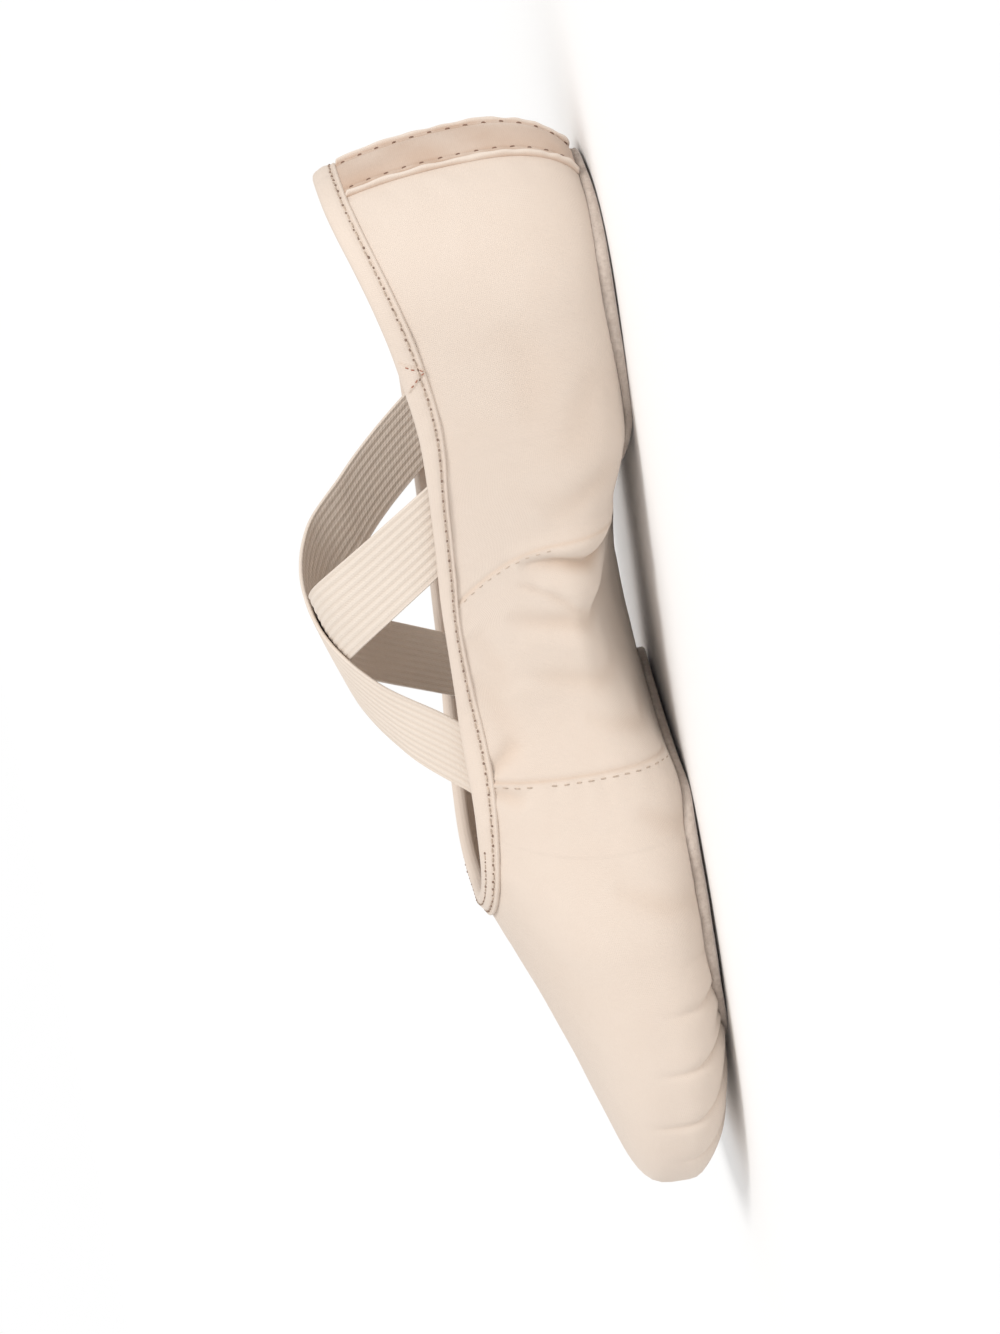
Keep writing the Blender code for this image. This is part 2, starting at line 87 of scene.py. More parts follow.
SECTIONS = (
    ("at", "inner", "outer", "widest", "ridge", "crown"),
    (0.00, 0.345, 0.345, 0.30, 1.01, 2.2),
    (0.13, 0.345, 0.345, 0.27, 1.02, 2.2),
    (0.25, 0.340, 0.362, 0.25, 1.02, 2.2),
    (0.37, 0.318, 0.388, 0.26, 0.98, 2.2),
    (0.48, 0.322, 0.415, 0.25, 0.89, 2.2),
    (0.60, 0.410, 0.462, 0.22, 0.74, 2.2),
    (0.72, 0.495, 0.505, 0.19, 0.58, 2.25),
    (0.85, 0.495, 0.505, 0.175, 0.44, 2.8),
    (0.94, 0.495, 0.505, 0.170, 0.37, 3.8),
    (1.00, 0.495, 0.505, 0.165, 0.34, 4.4),
)
UNDERSIDE = (
    ("at", "arch", "toe", "heel"),
    (0.00, 0.0, 0.0, 1.0),
    (0.07, 0.0, 0.0, 0.0),
    (0.25, 0.0, 0.0, 0.0),
    (0.35, 0.60, 0.0, 0.0),
    (0.43, 1.0, 0.0, 0.0),
    (0.51, 0.62, 0.0, 0.0),
    (0.61, 0.0, 0.0, 0.0),
    (0.84, 0.0, 0.0, 0.0),
    (0.92, 0.0, 0.28, 0.0),
    (1.00, 0.0, 1.0, 0.0),
)
OPENINGS = (
    ("at", "share"),
    (0.00, 0.45),
    (0.18, 0.45),
    (0.255, 0.0),
    (0.60, 0.0),
    (0.68, 0.38),
    (1.00, 0.38),
)
RIBS = (
    ("rib", "outline", "collar", "inner_reach", "outer_reach"),
    (0, 0.000, 0.000, 0.850, 0.850),
    (1, 0.006, 0.006, 0.853, 0.853),
    (2, 0.024, 0.024, 0.865, 0.865),
    (3, 0.055, 0.055, 0.885, 0.887),
    (4, 0.095, 0.097, 0.905, 0.910),
    (5, 0.145, 0.155, 0.922, 0.930),
    (6, 0.205, 0.230, 0.932, 0.942),
    (7, 0.270, 0.315, 0.927, 0.940),
    (8, 0.340, 0.395, 0.912, 0.930),
    (9, 0.410, 0.455, 0.893, 0.915),
    (10, 0.480, 0.505, 0.868, 0.892),
    (11, 0.555, 0.552, 0.828, 0.853),
    (12, 0.620, 0.597, 0.760, 0.780),
    (13, 0.685, 0.636, 0.665, 0.680),
    (14, 0.755, 0.664, 0.545, 0.560),
    (15, 0.825, 0.682, 0.410, 0.420),
    (16, 0.890, 0.693, 0.275, 0.280),
    (17, 0.945, 0.699, 0.160, 0.160),
    (18, 0.985, 0.702, 0.070, 0.070),
    (19, 1.000, 0.703, 0.000, 0.000),
)
HEEL_PATCH = {"width": 0.049, "back": 0.038, "widest": 0.130, "front": 0.302, "taper": 0.66,
              "slant": 0.13, "back_round": 2.15, "front_round": 3.6, "arch_end": 1}
FOREFOOT_PATCH = {"width": 0.073, "back": 0.562, "widest": 0.735, "front": 0.876, "taper": 0.80,
                  "slant": 0.10, "back_round": 5.5, "front_round": 2.15, "arch_end": -1}

# Mesh fineness
FINE_STEPS = 60
FLAT_ROWS = 10
CORNER_ROWS = 22
UPPER_ROWS = 42
INNER_ROW_STEP = 4

# Soft folds, as (side, width, depth, knots), width and depth in millimetres. A knot is
# (rib, level): a level runs from -2 on the middle of the underside over -1, where it starts to turn
# up, and 0 at the widest line to 1 at the collar. A ridge has a depth above zero.
FOLDS = (
    (1, 2.3, -1.90, ((8.12, 0.30), (8.30, -0.10), (8.42, -0.55), (8.30, -1.05), (8.25, -1.97))),
    (1, 0.80, -0.75, ((8.14, 0.26), (8.29, -0.10), (8.41, -0.52), (8.30, -1.02))),
    (1, 1.00, -0.70, ((8.36, 0.34), (8.66, 0.12), (8.95, -0.12), (9.10, -0.46))),
    (1, 3.2, 1.10, ((8.02, 0.36), (8.10, -0.10), (8.05, -0.60), (7.95, -1.00), (7.95, -1.60))),
    (1, 3.4, 1.00, ((8.50, 0.20), (8.72, -0.25), (8.80, -0.80), (8.62, -1.30), (8.60, -1.95))),
    (1, 2.6, -0.95, ((8.75, 0.46), (9.05, 0.12), (9.20, -0.40), (9.15, -1.00), (9.10, -1.70))),
    (1, 3.4, 0.60, ((9.10, 0.40), (9.40, 0.02), (9.55, -0.50), (9.50, -1.10))),
    (1, 2.6, -0.60, ((9.55, 0.52), (9.85, 0.10), (9.98, -0.45), (9.90, -1.20))),
    (1, 3.0, -0.45, ((8.55, 0.78), (9.15, 0.62), (9.80, 0.52))),
    (1, 3.6, 0.35, ((8.75, 0.66), (9.35, 0.48), (10.1, 0.36))),
    (1, 2.8, -0.40, ((9.20, 0.80), (9.85, 0.70), (10.6, 0.60))),
    (1, 2.4, -0.60, ((10.35, 0.05), (10.55, -0.40), (10.70, -0.95), (10.60, -1.60))),
    (1, 2.0, -0.90, ((10.86, 0.90), (10.62, 0.72), (10.42, 0.60))),
    (1, 1.8, -0.80, ((11.15, 0.90), (11.22, 0.74), (11.30, 0.62))),
    (1, 2.6, -0.55, ((11.55, -0.20), (11.90, -0.50), (12.10, -0.90))),
    (1, 3.4, 0.45, ((11.95, 0.10), (12.35, -0.35), (12.55, -0.85))),
    (1, 2.8, -0.50, ((12.50, 0.15), (12.95, -0.35), (13.05, -0.85))),
    (1, 4.5, -0.35, ((4.60, 0.15), (5.40, 0.02), (6.40, 0.10))),
    (1, 4.0, -0.40, ((5.60, -0.55), (6.30, -0.35), (7.00, -0.20))),
    (1, 3.2, -0.60, ((7.10, -0.75), (7.45, -0.30), (7.62, 0.10))),
    (-1, 2.4, -1.70, ((8.20, 0.20), (8.42, -0.25), (8.50, -0.70), (8.35, -1.20), (8.25, -1.97))),
    (-1, 0.80, -0.65, ((8.24, 0.14), (8.43, -0.26), (8.50, -0.68), (8.36, -1.15))),
    (-1, 3.2, 0.95, ((8.00, 0.30), (8.12, -0.20), (8.10, -0.75), (7.98, -1.40))),
    (-1, 3.4, 0.85, ((8.60, 0.15), (8.85, -0.35), (8.85, -0.90), (8.65, -1.60))),
    (-1, 2.6, -0.90, ((8.95, 0.40), (9.25, -0.05), (9.30, -0.60), (9.15, -1.50))),
    (-1, 2.8, -0.60, ((9.70, 0.35), (9.98, -0.10), (10.05, -0.70), (9.95, -1.40))),
    (-1, 3.0, -0.40, ((8.70, 0.75), (9.40, 0.60), (10.1, 0.50))),
    (-1, 2.0, -0.85, ((10.88, 0.90), (10.66, 0.74), (10.48, 0.62))),
    (-1, 2.6, -0.55, ((11.60, -0.15), (11.95, -0.50), (12.10, -0.90))),
    (-1, 3.0, -0.45, ((12.45, 0.20), (12.90, -0.30), (13.00, -0.85))),
    (-1, 4.5, -0.40, ((4.90, 0.25), (5.70, 0.10), (6.60, 0.15))),
    (-1, 3.2, -0.60, ((7.05, -0.80), (7.40, -0.35), (7.60, 0.05))),
)

# Gathers round the toe as (side, rib, lean, width, depth, top), width and depth in millimetres: each
# crease starts at the forefoot patch and runs up to a level, leaning by ribs on the way.
GATHERS = (
    (1, 13.90, -0.20, 0.85, 0.45, -0.20),
    (1, 14.55, -0.22, 0.70, 0.95, 0.02),
    (1, 14.95, 0.05, 0.50, 0.60, -0.42),
    (1, 15.38, -0.18, 0.60, 1.25, 0.08),
    (1, 15.90, 0.12, 0.50, 0.80, -0.30),
    (1, 16.18, -0.04, 0.65, 1.30, 0.12),
    (1, 16.62, 0.16, 0.45, 0.60, -0.50),
    (1, 17.05, -0.10, 0.60, 1.30, 0.04),
    (1, 17.42, 0.10, 0.50, 0.75, -0.38),
    (1, 17.78, 0.06, 0.55, 0.95, -0.10),
    (1, 18.36, -0.16, 0.65, 1.35, 0.14),
    (-1, 18.82, 0.05, 0.50, 0.80, -0.25),
    (-1, 18.34, -0.14, 0.65, 1.35, 0.10),
    (-1, 17.96, 0.12, 0.45, 0.60, -0.48),
    (-1, 17.46, -0.08, 0.65, 1.30, 0.08),
    (-1, 17.10, 0.14, 0.50, 0.80, -0.30),
    (-1, 16.50, -0.16, 0.60, 1.20, 0.05),
    (-1, 16.14, 0.05, 0.45, 0.60, -0.45),
    (-1, 15.62, -0.18, 0.60, 1.15, 0.05),
    (-1, 15.06, 0.08, 0.55, 0.75, -0.28),
    (-1, 14.52, -0.18, 0.70, 0.85, -0.05),
    (-1, 13.95, -0.15, 0.85, 0.40, -0.25),
)
PILLOW = 1.00 * MM
PILLOW_REACH = 2.2 * MM
LAP = 0.42 * MM
LAP_REACH = 1.8 * MM
GATHER_REACH = 12.0 * MM

# Seams that bound the stretch panel over the arch, as (rib, level) knots from the collar down
REAR_SEAM = ((8.0, 0.90), (8.0, 0.45), (8.0, 0.0), (8.0, -0.55), (8.0, -0.99))
FRONT_SEAM = ((11.0, 0.90), (11.0, 0.45), (11.0, 0.0), (11.05, -0.55), (11.15, -0.99))
SEAM_BELOW_COLLAR = 0.86
STRIP_RIB = 1.02
SEAM_WAVE = 5.5 * MM
SEAM_REACH = 14.0 * MM
SEAM_FADE = 5.0 * MM

# Tape, stitches and patches
BED = 0.05 * MM
STITCH_PITCH = 2.5 * MM
STITCH_DEPTH = 3.45 * MM
CASING_DEPTH = 1.7 * MM
HEM_DEPTH = 4.25 * MM
TAPE_ROUND = 11.0 * MM
JOIN_RIB = 5.05
JOIN_FOOT = 0.3 * MM
JOIN_SPREAD = 3.4 * MM
COLLAR_RUN_PER_RIB = 0.019
PATCH_STITCH = 3.6 * MM
THROAT_STITCH_DEPTH = 1.2 * MM
THROAT_FROM = 12.4
PAD_SPOKES = 360
FIBRE_THICK = 0.032 * MM
ELASTIC_CORDS = 10
ELASTIC_STRANDS = 66
ELASTIC_STEPS = 110
ELASTIC_GROOVE = 0.17 * MM
ELASTIC_EDGE = 0.42 * MM

# Distances of the heel strip's strands from its edge, closest together over the raised seam
STRIP_STRANDS = MM * np.array((0.0, 0.06, 0.16, 0.30, 0.46, 0.62, 0.78, 0.94, 1.08, 1.20, 1.36, 1.55, 1.80,
                               2.1, 2.45, 2.8, 3.1, 3.4, 3.8, 4.4, 5.2, 6.2, 7.3, 8.4, 9.5))
STRIP_SEAM_AT = 0.62 * MM
STRIP_SEAM_RADIUS = 0.60 * MM
STRIP_GUTTER_AT = 1.50 * MM
STRIP_PUCKER_AT = 2.3 * MM
STRIP_STITCH_AT = 3.1 * MM
STRIP_PITCH = 3.9 * MM

# Spacing of a wave texture's bands at a scale of 1
BAND_UNIT = 0.314

# Studio, with suns as (name, azimuth, elevation, power, spread in degrees, colour)
FLOOR_RADIUS = 30.0
SUNS = (
    ("key", 234, 38, 1.50, 16, (1.0, 0.992, 0.980)),
    ("fill", 158, 48, 0.40, 60, (1.0, 0.995, 0.99)),
    ("front", 200, 7, 0.30, 50, (1.0, 0.995, 0.99)),
)
SURROUND = (1.0, 0.995, 0.99)
SURROUND_STRENGTH = 0.72
AIM = Vector((LENGTH * (0.5 - ORIGIN_AT), 0.0, 0.036))
SENSOR = 36
CAMERA_AZIMUTH = 206
CAMERA_ELEVATION = 4
CAMERA_LEAN = 9
CAMERA_DISTANCE = 1.7
FRAME_HEIGHT = 0.300

# Colours in linear light
SHEEN_TINT = (1.0, 0.93, 0.86)
CANVAS = (0.700, 0.602, 0.522)
CANVAS_SHADE = (0.575, 0.440, 0.340)
# darker pinker tone of the heel strip: partly the strip's own colour, partly painted shade
STRIP_SHADE = (0.500, 0.345, 0.250)
LINING = (0.680, 0.600, 0.530)
SUEDE = (0.704, 0.6182, 0.550)
# the suede's dark cut-edge colour, also mixed in as painted shade in the patch's stitch groove
SUEDE_EDGE = (0.360, 0.285, 0.235)
ELASTIC = (0.735, 0.650, 0.570)
ELASTIC_SHADE = (0.560, 0.455, 0.365)
THREADS = {
    "thread": (0.560, 0.440, 0.345),
    "pale_thread": (0.600, 0.480, 0.380),
    # dark dots that stand for the shadow inside the collar's needle holes: painted shade
    "needle_shadow": (0.270, 0.175, 0.130),
    "join_thread": (0.430, 0.175, 0.110),
    "strip_thread": (0.260, 0.150, 0.105),
    "suede_fibre": (0.470, 0.375, 0.310),
    "suede_thread": (0.240, 0.195, 0.165),
}


class Curve:
    """One column of a table as a smooth curve that doesn't overshoot its rows."""

    def __init__(self, table, column):
        place = table[0].index(column)
        self.at = np.array([row[0] for row in table[1:]], dtype=float)
        self.value = np.array([row[place] for row in table[1:]], dtype=float)
        steps = np.diff(self.value) / np.diff(self.at)
        self.slope = np.zeros(len(self.at))
        for i in range(1, len(steps)):
            if steps[i - 1] * steps[i] > 0:
                self.slope[i] = 2 * steps[i - 1] * steps[i] / (steps[i - 1] + steps[i])

    def __call__(self, at):
        at = np.clip(at, self.at[0], self.at[-1])
        i = np.clip(np.searchsorted(self.at, at, side="left") - 1, 0, len(self.at) - 2)
        span = self.at[i + 1] - self.at[i]
        t = (at - self.at[i]) / span
        start = (1 + 2 * t) * (1 - t) ** 2 * self.value[i] + t * (1 - t) ** 2 * span * self.slope[i]
        end = t * t * (3 - 2 * t) * self.value[i + 1] - t * t * (1 - t) * span * self.slope[i + 1]
        return start + end


INNER_HALF, OUTER_HALF, WIDEST, RIDGE, CROWN = (Curve(SECTIONS, name) for name in SECTIONS[0][1:])
ARCH, TOE_UP, HEEL_UP = (Curve(UNDERSIDE, name) for name in UNDERSIDE[0][1:])
OPENING = Curve(OPENINGS, "share")
RIB_OUTLINE, RIB_COLLAR, INNER_REACH, OUTER_REACH = (Curve(RIBS, name) for name in RIBS[0][1:])


def ease(value):
    """A soft step from 0 to 1."""
    value = np.clip(value, 0.0, 1.0)
    return value * value * (3 - 2 * value)


def bell(distance, width):
    """1 at no distance, fading smoothly over a width."""
    return np.exp(-(distance / width) ** 2)


def half_width(at, side, inset):
    """Half width of the last at a station, on the inner side (1) or the outer side (-1)."""
    at = np.clip(at, HEEL_END, TOE_START)
    return BALL_WIDTH * np.where(np.asarray(side) > 0, INNER_HALF(at), OUTER_HALF(at)) - inset


def plan_point(at, side, share, inset):
    """A plan point, a share of the way from the ridge to the outline's point at a station."""
    heel = np.clip((HEEL_END - at) / HEEL_END, 0, 1)
    toe = np.clip((at - TOE_START) / (1 - TOE_START), 0, 1)
    narrow = (1 - heel ** HEEL_ROUND) ** (1 / HEEL_ROUND) * (1 - toe ** TOE_ROUND) ** (1 / TOE_ROUND)
    x = np.clip(at, HEEL_END, TOE_START) * LENGTH
    x = x - share * heel * (HEEL_END * LENGTH - inset)
    x = x + share * toe * ((1 - TOE_START) * LENGTH - inset)
    return x, side * share * half_width(at, side, inset) * narrow


def edge_share(x, across, inset):
    """How far out a plan point lies: 0 on the ridge and 1 on the outline."""
    out = np.abs(across) / half_width(x / LENGTH, np.where(across >= 0, 1, -1), inset)
    heel = np.maximum(0, (HEEL_END * LENGTH - x) / (HEEL_END * LENGTH - inset))
    toe = np.maximum(0, (x - TOE_START * LENGTH) / ((1 - TOE_START) * LENGTH - inset))
    round_heel = (heel ** HEEL_ROUND + out ** HEEL_ROUND) ** (1 / HEEL_ROUND)
    round_toe = (toe ** TOE_ROUND + out ** TOE_ROUND) ** (1 / TOE_ROUND)
    return np.minimum(np.where(heel > 0, round_heel, np.where(toe > 0, round_toe, out)), 1.0)


def top_height(x, across, inset):
    """Height of the last above its widest line."""
    at = x / LENGTH
    low = INSTEP_HEIGHT * WIDEST(at)
    high = INSTEP_HEIGHT * RIDGE(at) - inset
    crown = CROWN(at)
    return low + (high - low) * (1 - edge_share(x, across, inset) ** crown) ** (1 / crown)


def underside_height(x, across, inset):
    """Height of the last below its widest line: flat in the middle, round at the edge."""
    at = x / LENGTH
    side = np.where(across >= 0, 1, -1)
    spread = (across / half_width(at, side, 0.0) - ARCH_FROM) / (ARCH_TO - ARCH_FROM)
    arch = ARCH(at) * (OUTER_ARCH + (1 - OUTER_ARCH) * ease(spread))
    low = SOLE_THICK + GAP + inset + ARCH_RISE * arch + TOE_SPRING * TOE_UP(at) + HEEL_LIFT * HEEL_UP(at)
    high = INSTEP_HEIGHT * WIDEST(at)
    out = np.maximum(0.0, (edge_share(x, across, inset) - FLAT_SHARE) / (1 - FLAT_SHARE))
    return high - (high - low) * (1 - out ** CORNER) ** (1 / CORNER)


def place(x, across, height):
    """Points of the last in the shoe's frame, with the toe swung to the inner side."""
    x, across, height = np.broadcast_arrays(x, across, height)
    swing = TOE_SWING * ((np.maximum(x / LENGTH, SWING_FROM) - SWING_FROM) / (1 - SWING_FROM)) ** 2
    return np.stack((x - ORIGIN_AT * LENGTH, across + swing, height), axis=-1)


def on_underside(x, across, inset):
    """Plan points of the last brought to its underside, in the shoe's frame."""
    return place(x, across, underside_height(x, across, inset))


def run_along(line):
    """Length from a line's start to each of its points."""
    return np.concatenate(([0.0], np.cumsum(np.linalg.norm(np.diff(line, axis=0), axis=1))))


def rise_along(grid):
    """Length from the first row to each row, for every column of a grid."""
    steps = np.linalg.norm(np.diff(grid, axis=1), axis=2)
    return np.concatenate((np.zeros((len(grid), 1)), np.cumsum(steps, axis=1)), axis=1)


def along_line(line, fractions):
    """Points at fractions of a line's length."""
    lengths = run_along(line)
    want = np.asarray(fractions) * lengths[-1]
    return np.stack([np.interp(want, lengths, line[:, k]) for k in range(3)], axis=-1)


def line_length(line):
    """Length of a line of points."""
    return np.linalg.norm(np.diff(line, axis=0), axis=1).sum()


def rib_flats(ribs, sides, openings, inset):
    """Rows of points on the middle of the underside for a row of ribs."""
    t = np.linspace(0, 1, FLAT_ROWS + 1)[None, :]
    share = openings[:, None] + (FLAT_SHARE - openings[:, None]) * t
    return on_underside(*plan_point(RIB_OUTLINE(ribs)[:, None], sides[:, None], share, inset), inset)


def rib_corners(ribs, sides, inset):
    """Fine points round the lower corner for a row of ribs."""
    t = np.sin(np.pi / 2 * np.linspace(0, 1, FINE_STEPS + 1))[None, :]
    share = FLAT_SHARE + (1 - FLAT_SHARE) * t
    return on_underside(*plan_point(RIB_OUTLINE(ribs)[:, None], sides[:, None], share, inset), inset)


def rib_overs(ribs, sides, inset):
    """Fine points from the outline up to the collar for a row of ribs."""
    t = 1 - np.cos(np.pi / 2 * np.linspace(0, 1, FINE_STEPS + 1))[None, :]
    reach = np.where(sides > 0, INNER_REACH(ribs), OUTER_REACH(ribs))
    start = plan_point(RIB_OUTLINE(ribs), sides, np.ones(len(ribs)), inset)
    end = plan_point(RIB_COLLAR(ribs), sides, reach, inset)
    x = start[0][:, None] + (end[0] - start[0])[:, None] * t
    across = start[1][:, None] + (end[1] - start[1])[:, None] * t
    return place(x, across, top_height(x, across, inset))


def loop_ribs(*stretches):
    """Ribs round the shoe, up the inner side and back down the outer one, from (from, to, step)."""
    numbers = np.concatenate([np.arange(start, end, step) for start, end, step in stretches] + [[LAST_RIB]])
    numbers = np.unique(np.round(numbers, 5))
    numbers = numbers[np.concatenate(([True], np.diff(numbers) > 0.004))]
    numbers[-1] = LAST_RIB
    back = numbers[1:-1][::-1]
    sides = np.concatenate((np.ones(len(numbers)), -np.ones(len(back))))
    return np.concatenate((numbers, back)), sides


def surface_path(side, knots, steps):
    """Points on the upper through knots of (rib, level), as smooth as its knots allow."""
    knots = np.array(knots, dtype=float)
    t = np.linspace(0, 1, len(knots))
    want = np.linspace(0, 1, steps)
    ribs, levels = (Curve((("t", "v"), *zip(t, column)), "v")(want) for column in knots.T)
    sides = np.full(steps, float(side))
    flats = rib_flats(ribs, sides, np.zeros(steps), 0.0)
    corners, overs = rib_corners(ribs, sides, 0.0), rib_overs(ribs, sides, 0.0)
    points = []
    for flat, corner, over, level in zip(flats, corners, overs, levels):
        line, fraction = flat, 2 + level
        if level >= 0:
            line, fraction = over, level
        elif level >= -1:
            line, fraction = corner, 1 + level
        points.append(along_line(line, [fraction])[0])
    return np.array(points)


def path_distance(points, path, reach):
    """Points near a path: their numbers, their distance from it and how far along it they lie."""
    near = np.all((points > path.min(axis=0) - reach) & (points < path.max(axis=0) + reach), axis=1)
    which = np.nonzero(near)[0]
    points = points[which]
    best = np.full(len(points), 1e9)
    along = np.zeros(len(points))
    lengths = run_along(path)
    for i in range(len(path) - 1):
        a, way = path[i], path[i + 1] - path[i]
        t = np.clip((points - a) @ way / max(way @ way, 1e-18), 0, 1)
        distance = np.linalg.norm(points - a - t[:, None] * way, axis=1)
        close = distance < best
        best[close] = distance[close]
        along[close] = (lengths[i] + t[close] * (lengths[i + 1] - lengths[i])) / lengths[-1]
    return which, best, along


def unit(vectors):
    """Vectors brought to a length of 1."""
    return vectors / np.maximum(np.linalg.norm(vectors, axis=-1, keepdims=True), 1e-15)


def grid_normals(grid, closed):
    """Normals of a grid of points whose rows run up and whose columns run round the shoe."""
    if closed:
        round_way = np.roll(grid, -1, axis=0) - np.roll(grid, 1, axis=0)
    else:
        round_way = np.gradient(grid, axis=0)
    return unit(np.cross(np.gradient(grid, axis=1), round_way))


def grid_faces(number, closed, flip):
    """Quads over a grid of point numbers."""
    here = number if closed else number[:-1]
    there = np.roll(number, -1, axis=0) if closed else number[1:]
    ring = (here[:, :-1], here[:, 1:], there[:, 1:], there[:, :-1])
    return np.stack(ring[::-1] if flip else ring, axis=-1).reshape(-1, 4)


def rim_faces(outer, inner, closed, is_open):
    """Quads that join the first rows and the last rows of an outer and an inner grid."""
    faces = []
    for row, flip in ((0, False), (-1, True)):
        a, b = outer[:, row], inner[:, row]
        a2, b2 = np.roll(a, -1), np.roll(b, -1)
        ring = np.stack((b, b2, a2, a) if flip else (a, a2, b2, b), axis=-1)
        if row == 0 and is_open is not None:
            ring = ring[is_open | np.roll(is_open, -1)]
        faces.append(ring if closed else ring[:-1])
    return faces


def new_piece(name, mesh):
    """A smooth object from a mesh, among the looks."""
    mesh.shade_smooth()
    thing = bpy.data.objects.new(name, mesh)
    looks.objects.link(thing)
    return thing


def grid_object(name, outer, inner, closed, uv, shade, uv_inner=None, is_open=None):
    """A closed solid between an outer and an inner grid, with a uv in metres and a shade mask.

    The two grids have the same columns. Where the grid is closed their rows may differ, and is_open
    says which columns start at the edge of a hole."""
    split = outer.shape[0] * outer.shape[1]
    points = np.concatenate((outer.reshape(-1, 3), inner.reshape(-1, 3)))
    first = np.arange(split).reshape(outer.shape[:2])
    second = split + np.arange(inner.shape[0] * inner.shape[1]).reshape(inner.shape[:2])
    faces = [grid_faces(first, closed, False), grid_faces(second, closed, True)]
    faces += rim_faces(first, second, closed, is_open)
    if not closed:
        for column, flip in ((0, False), (-1, True)):
            a, b = first[column], second[column]
            ring = (a[:-1], b[:-1], b[1:], a[1:])
            faces.append(np.stack(ring[::-1] if flip else ring, axis=-1))
    faces = np.concatenate(faces)
    mesh = bpy.data.meshes.new(name)
    mesh.from_pydata(points.tolist(), [], faces.tolist())
    both = np.concatenate((uv.reshape(-1, 2), (uv if uv_inner is None else uv_inner).reshape(-1, 2)))
    layer = mesh.uv_layers.new(name="cloth")
    corner = np.zeros(len(mesh.loops), dtype=np.int32)
    mesh.loops.foreach_get("vertex_index", corner)
    layer.data.foreach_set("uv", both[corner].astype(np.float32).ravel())
    mask = np.zeros(len(points), dtype=np.float32)
    mask[:split] = shade.ravel()
    layer = mesh.attributes.new("shade", "FLOAT", "POINT")
    layer.data.foreach_set("value", mask)
    work = bmesh.new()
    work.from_mesh(mesh)
    bmesh.ops.remove_doubles(work, verts=work.verts, dist=2e-6)
    bmesh.ops.dissolve_degenerate(work, edges=work.edges, dist=1e-7)
    work.to_mesh(mesh)
    work.free()
    return new_piece(name, mesh)


def ripple(points, sizes, height, seed):
    """A smooth uneven height over points, from a few waves of the given sizes."""
    chance = np.random.default_rng(seed)
    total = np.zeros(points.shape[:-1])
    for size in sizes:
        for _ in range(3):
            way = chance.normal(size=3)
            way *= 2 * np.pi / (size * np.linalg.norm(way))
            total += np.sin(points @ way + chance.uniform(0, 2 * np.pi))
    return height * total / math.sqrt(3 * len(sizes))


class Nodes:
    """The nodes of a material or world, and short ways to add, set and join them."""

    def __init__(self, owner):
        owner.use_nodes = True
        self.owner = owner
        self.tree = owner.node_tree
        self.shader = self.tree.nodes.get("Principled BSDF")

    def put(self, node, values):
        """Set inputs to numbers and colours, or join them to sockets."""
        for key, value in values.items():
            if hasattr(value, "links"):
                self.tree.links.new(value, node.inputs[key])
            else:
                node.inputs[key].default_value = (*value, 1.0) if isinstance(value, tuple) else value

    def add(self, kind, values, output=0, **settings):
        """Add a node and give one of its outputs."""
        node = self.tree.nodes.new("ShaderNode" + kind)
        for key, value in settings.items():
            setattr(node, key, value)
        self.put(node, values)
        return node.outputs[output]

    def math(self, operation, first, second):
        return self.add("Math", {0: first, 1: second}, operation=operation)

    def total(self, *terms):
        """The sum of sockets, each times its share."""
        parts = [self.math("MULTIPLY", source, share) for source, share in terms]
        result = parts[0]
        for part in parts[1:]:
            result = self.math("ADD", result, part)
        return result

    def ramp(self, source, low, high):
        """A value stretched from a range to 0..1."""
        return self.add("MapRange", {"Value": source, "From Min": low, "From Max": high})

    def noise(self, scale, detail, roughness):
        """Noise over the piece's own coordinates."""
        where = self.add("TexCoord", {}, "Object")
        return self.add("TexNoise", {"Vector": where, "Scale": scale, "Detail": detail,
                                     "Roughness": roughness}, "Fac")

    def shaded(self, tone, colour, dark):
        """A mix of two colours by a tone and by the mesh's own shade mask."""
        mask = self.add("Attribute", {}, "Fac", attribute_name="shade")
        tone = self.math("MINIMUM", self.math("ADD", tone, mask), 1.0)
        return self.mix(tone, colour, dark)

    def mix(self, factor, first, second):
        return self.add("Mix", {0: factor, 6: first, 7: second}, 2, data_type="RGBA")

    def finish(self, colour, height, strength, depth, roughness, sheen=0.0, sheen_roughness=0.5, gloss=0.5):
        """Set the shader's colour, relief and gloss."""
        relief = self.add("Bump", {"Strength": strength, "Distance": depth, "Height": height})
        self.put(self.shader, {"Base Color": colour, "Normal": relief, "Roughness": roughness,
                               "Sheen Weight": sheen, "Sheen Roughness": sheen_roughness,
                               "Specular IOR Level": gloss})
        return self.owner


def cloth_material(name, colour, dark, thread, strength=0.35, knit=False, mottled=0.10):
    """Woven or knitted cloth: crossing threads in the uv, soft mottling and a little sheen."""
    nodes = Nodes(bpy.data.materials.new(name))
    waves = []
    for way in ("X", "DIAGONAL" if knit else "Y"):
        values = {"Vector": nodes.add("UVMap", {}, uv_map="cloth"), "Scale": BAND_UNIT / thread,
                  "Distortion": 0.8, "Detail": 1.0, "Detail Scale": 2.0}
        waves.append(nodes.add("TexWave", values, "Fac", bands_direction=way))
    weave = nodes.math("MULTIPLY", *waves)
    fuzz = nodes.noise(1500.0, 3.0, 0.6)
    slub = nodes.ramp(nodes.noise(140.0, 4.0, 0.6), 0.35, 0.75)
    cloud = nodes.ramp(nodes.noise(22.0, 3.0, 0.5), 0.35, 0.70)
    # the weave's low valleys are mixed a little darker: painted shade between the threads
    valley = nodes.math("SUBTRACT", 1.0, weave)
    tone = nodes.total((cloud, mottled), (slub, mottled * 0.7), (valley, 0.10))
    height = nodes.total((weave, 1.0), (fuzz, 0.6))
    nodes.put(nodes.shader, {"Sheen Tint": SHEEN_TINT})
    return nodes.finish(nodes.shaded(tone, colour, dark), height, strength, 0.12 * MM,
                        nodes.ramp(fuzz, -1.9, 0.9), 0.25, 0.5, 0.2)


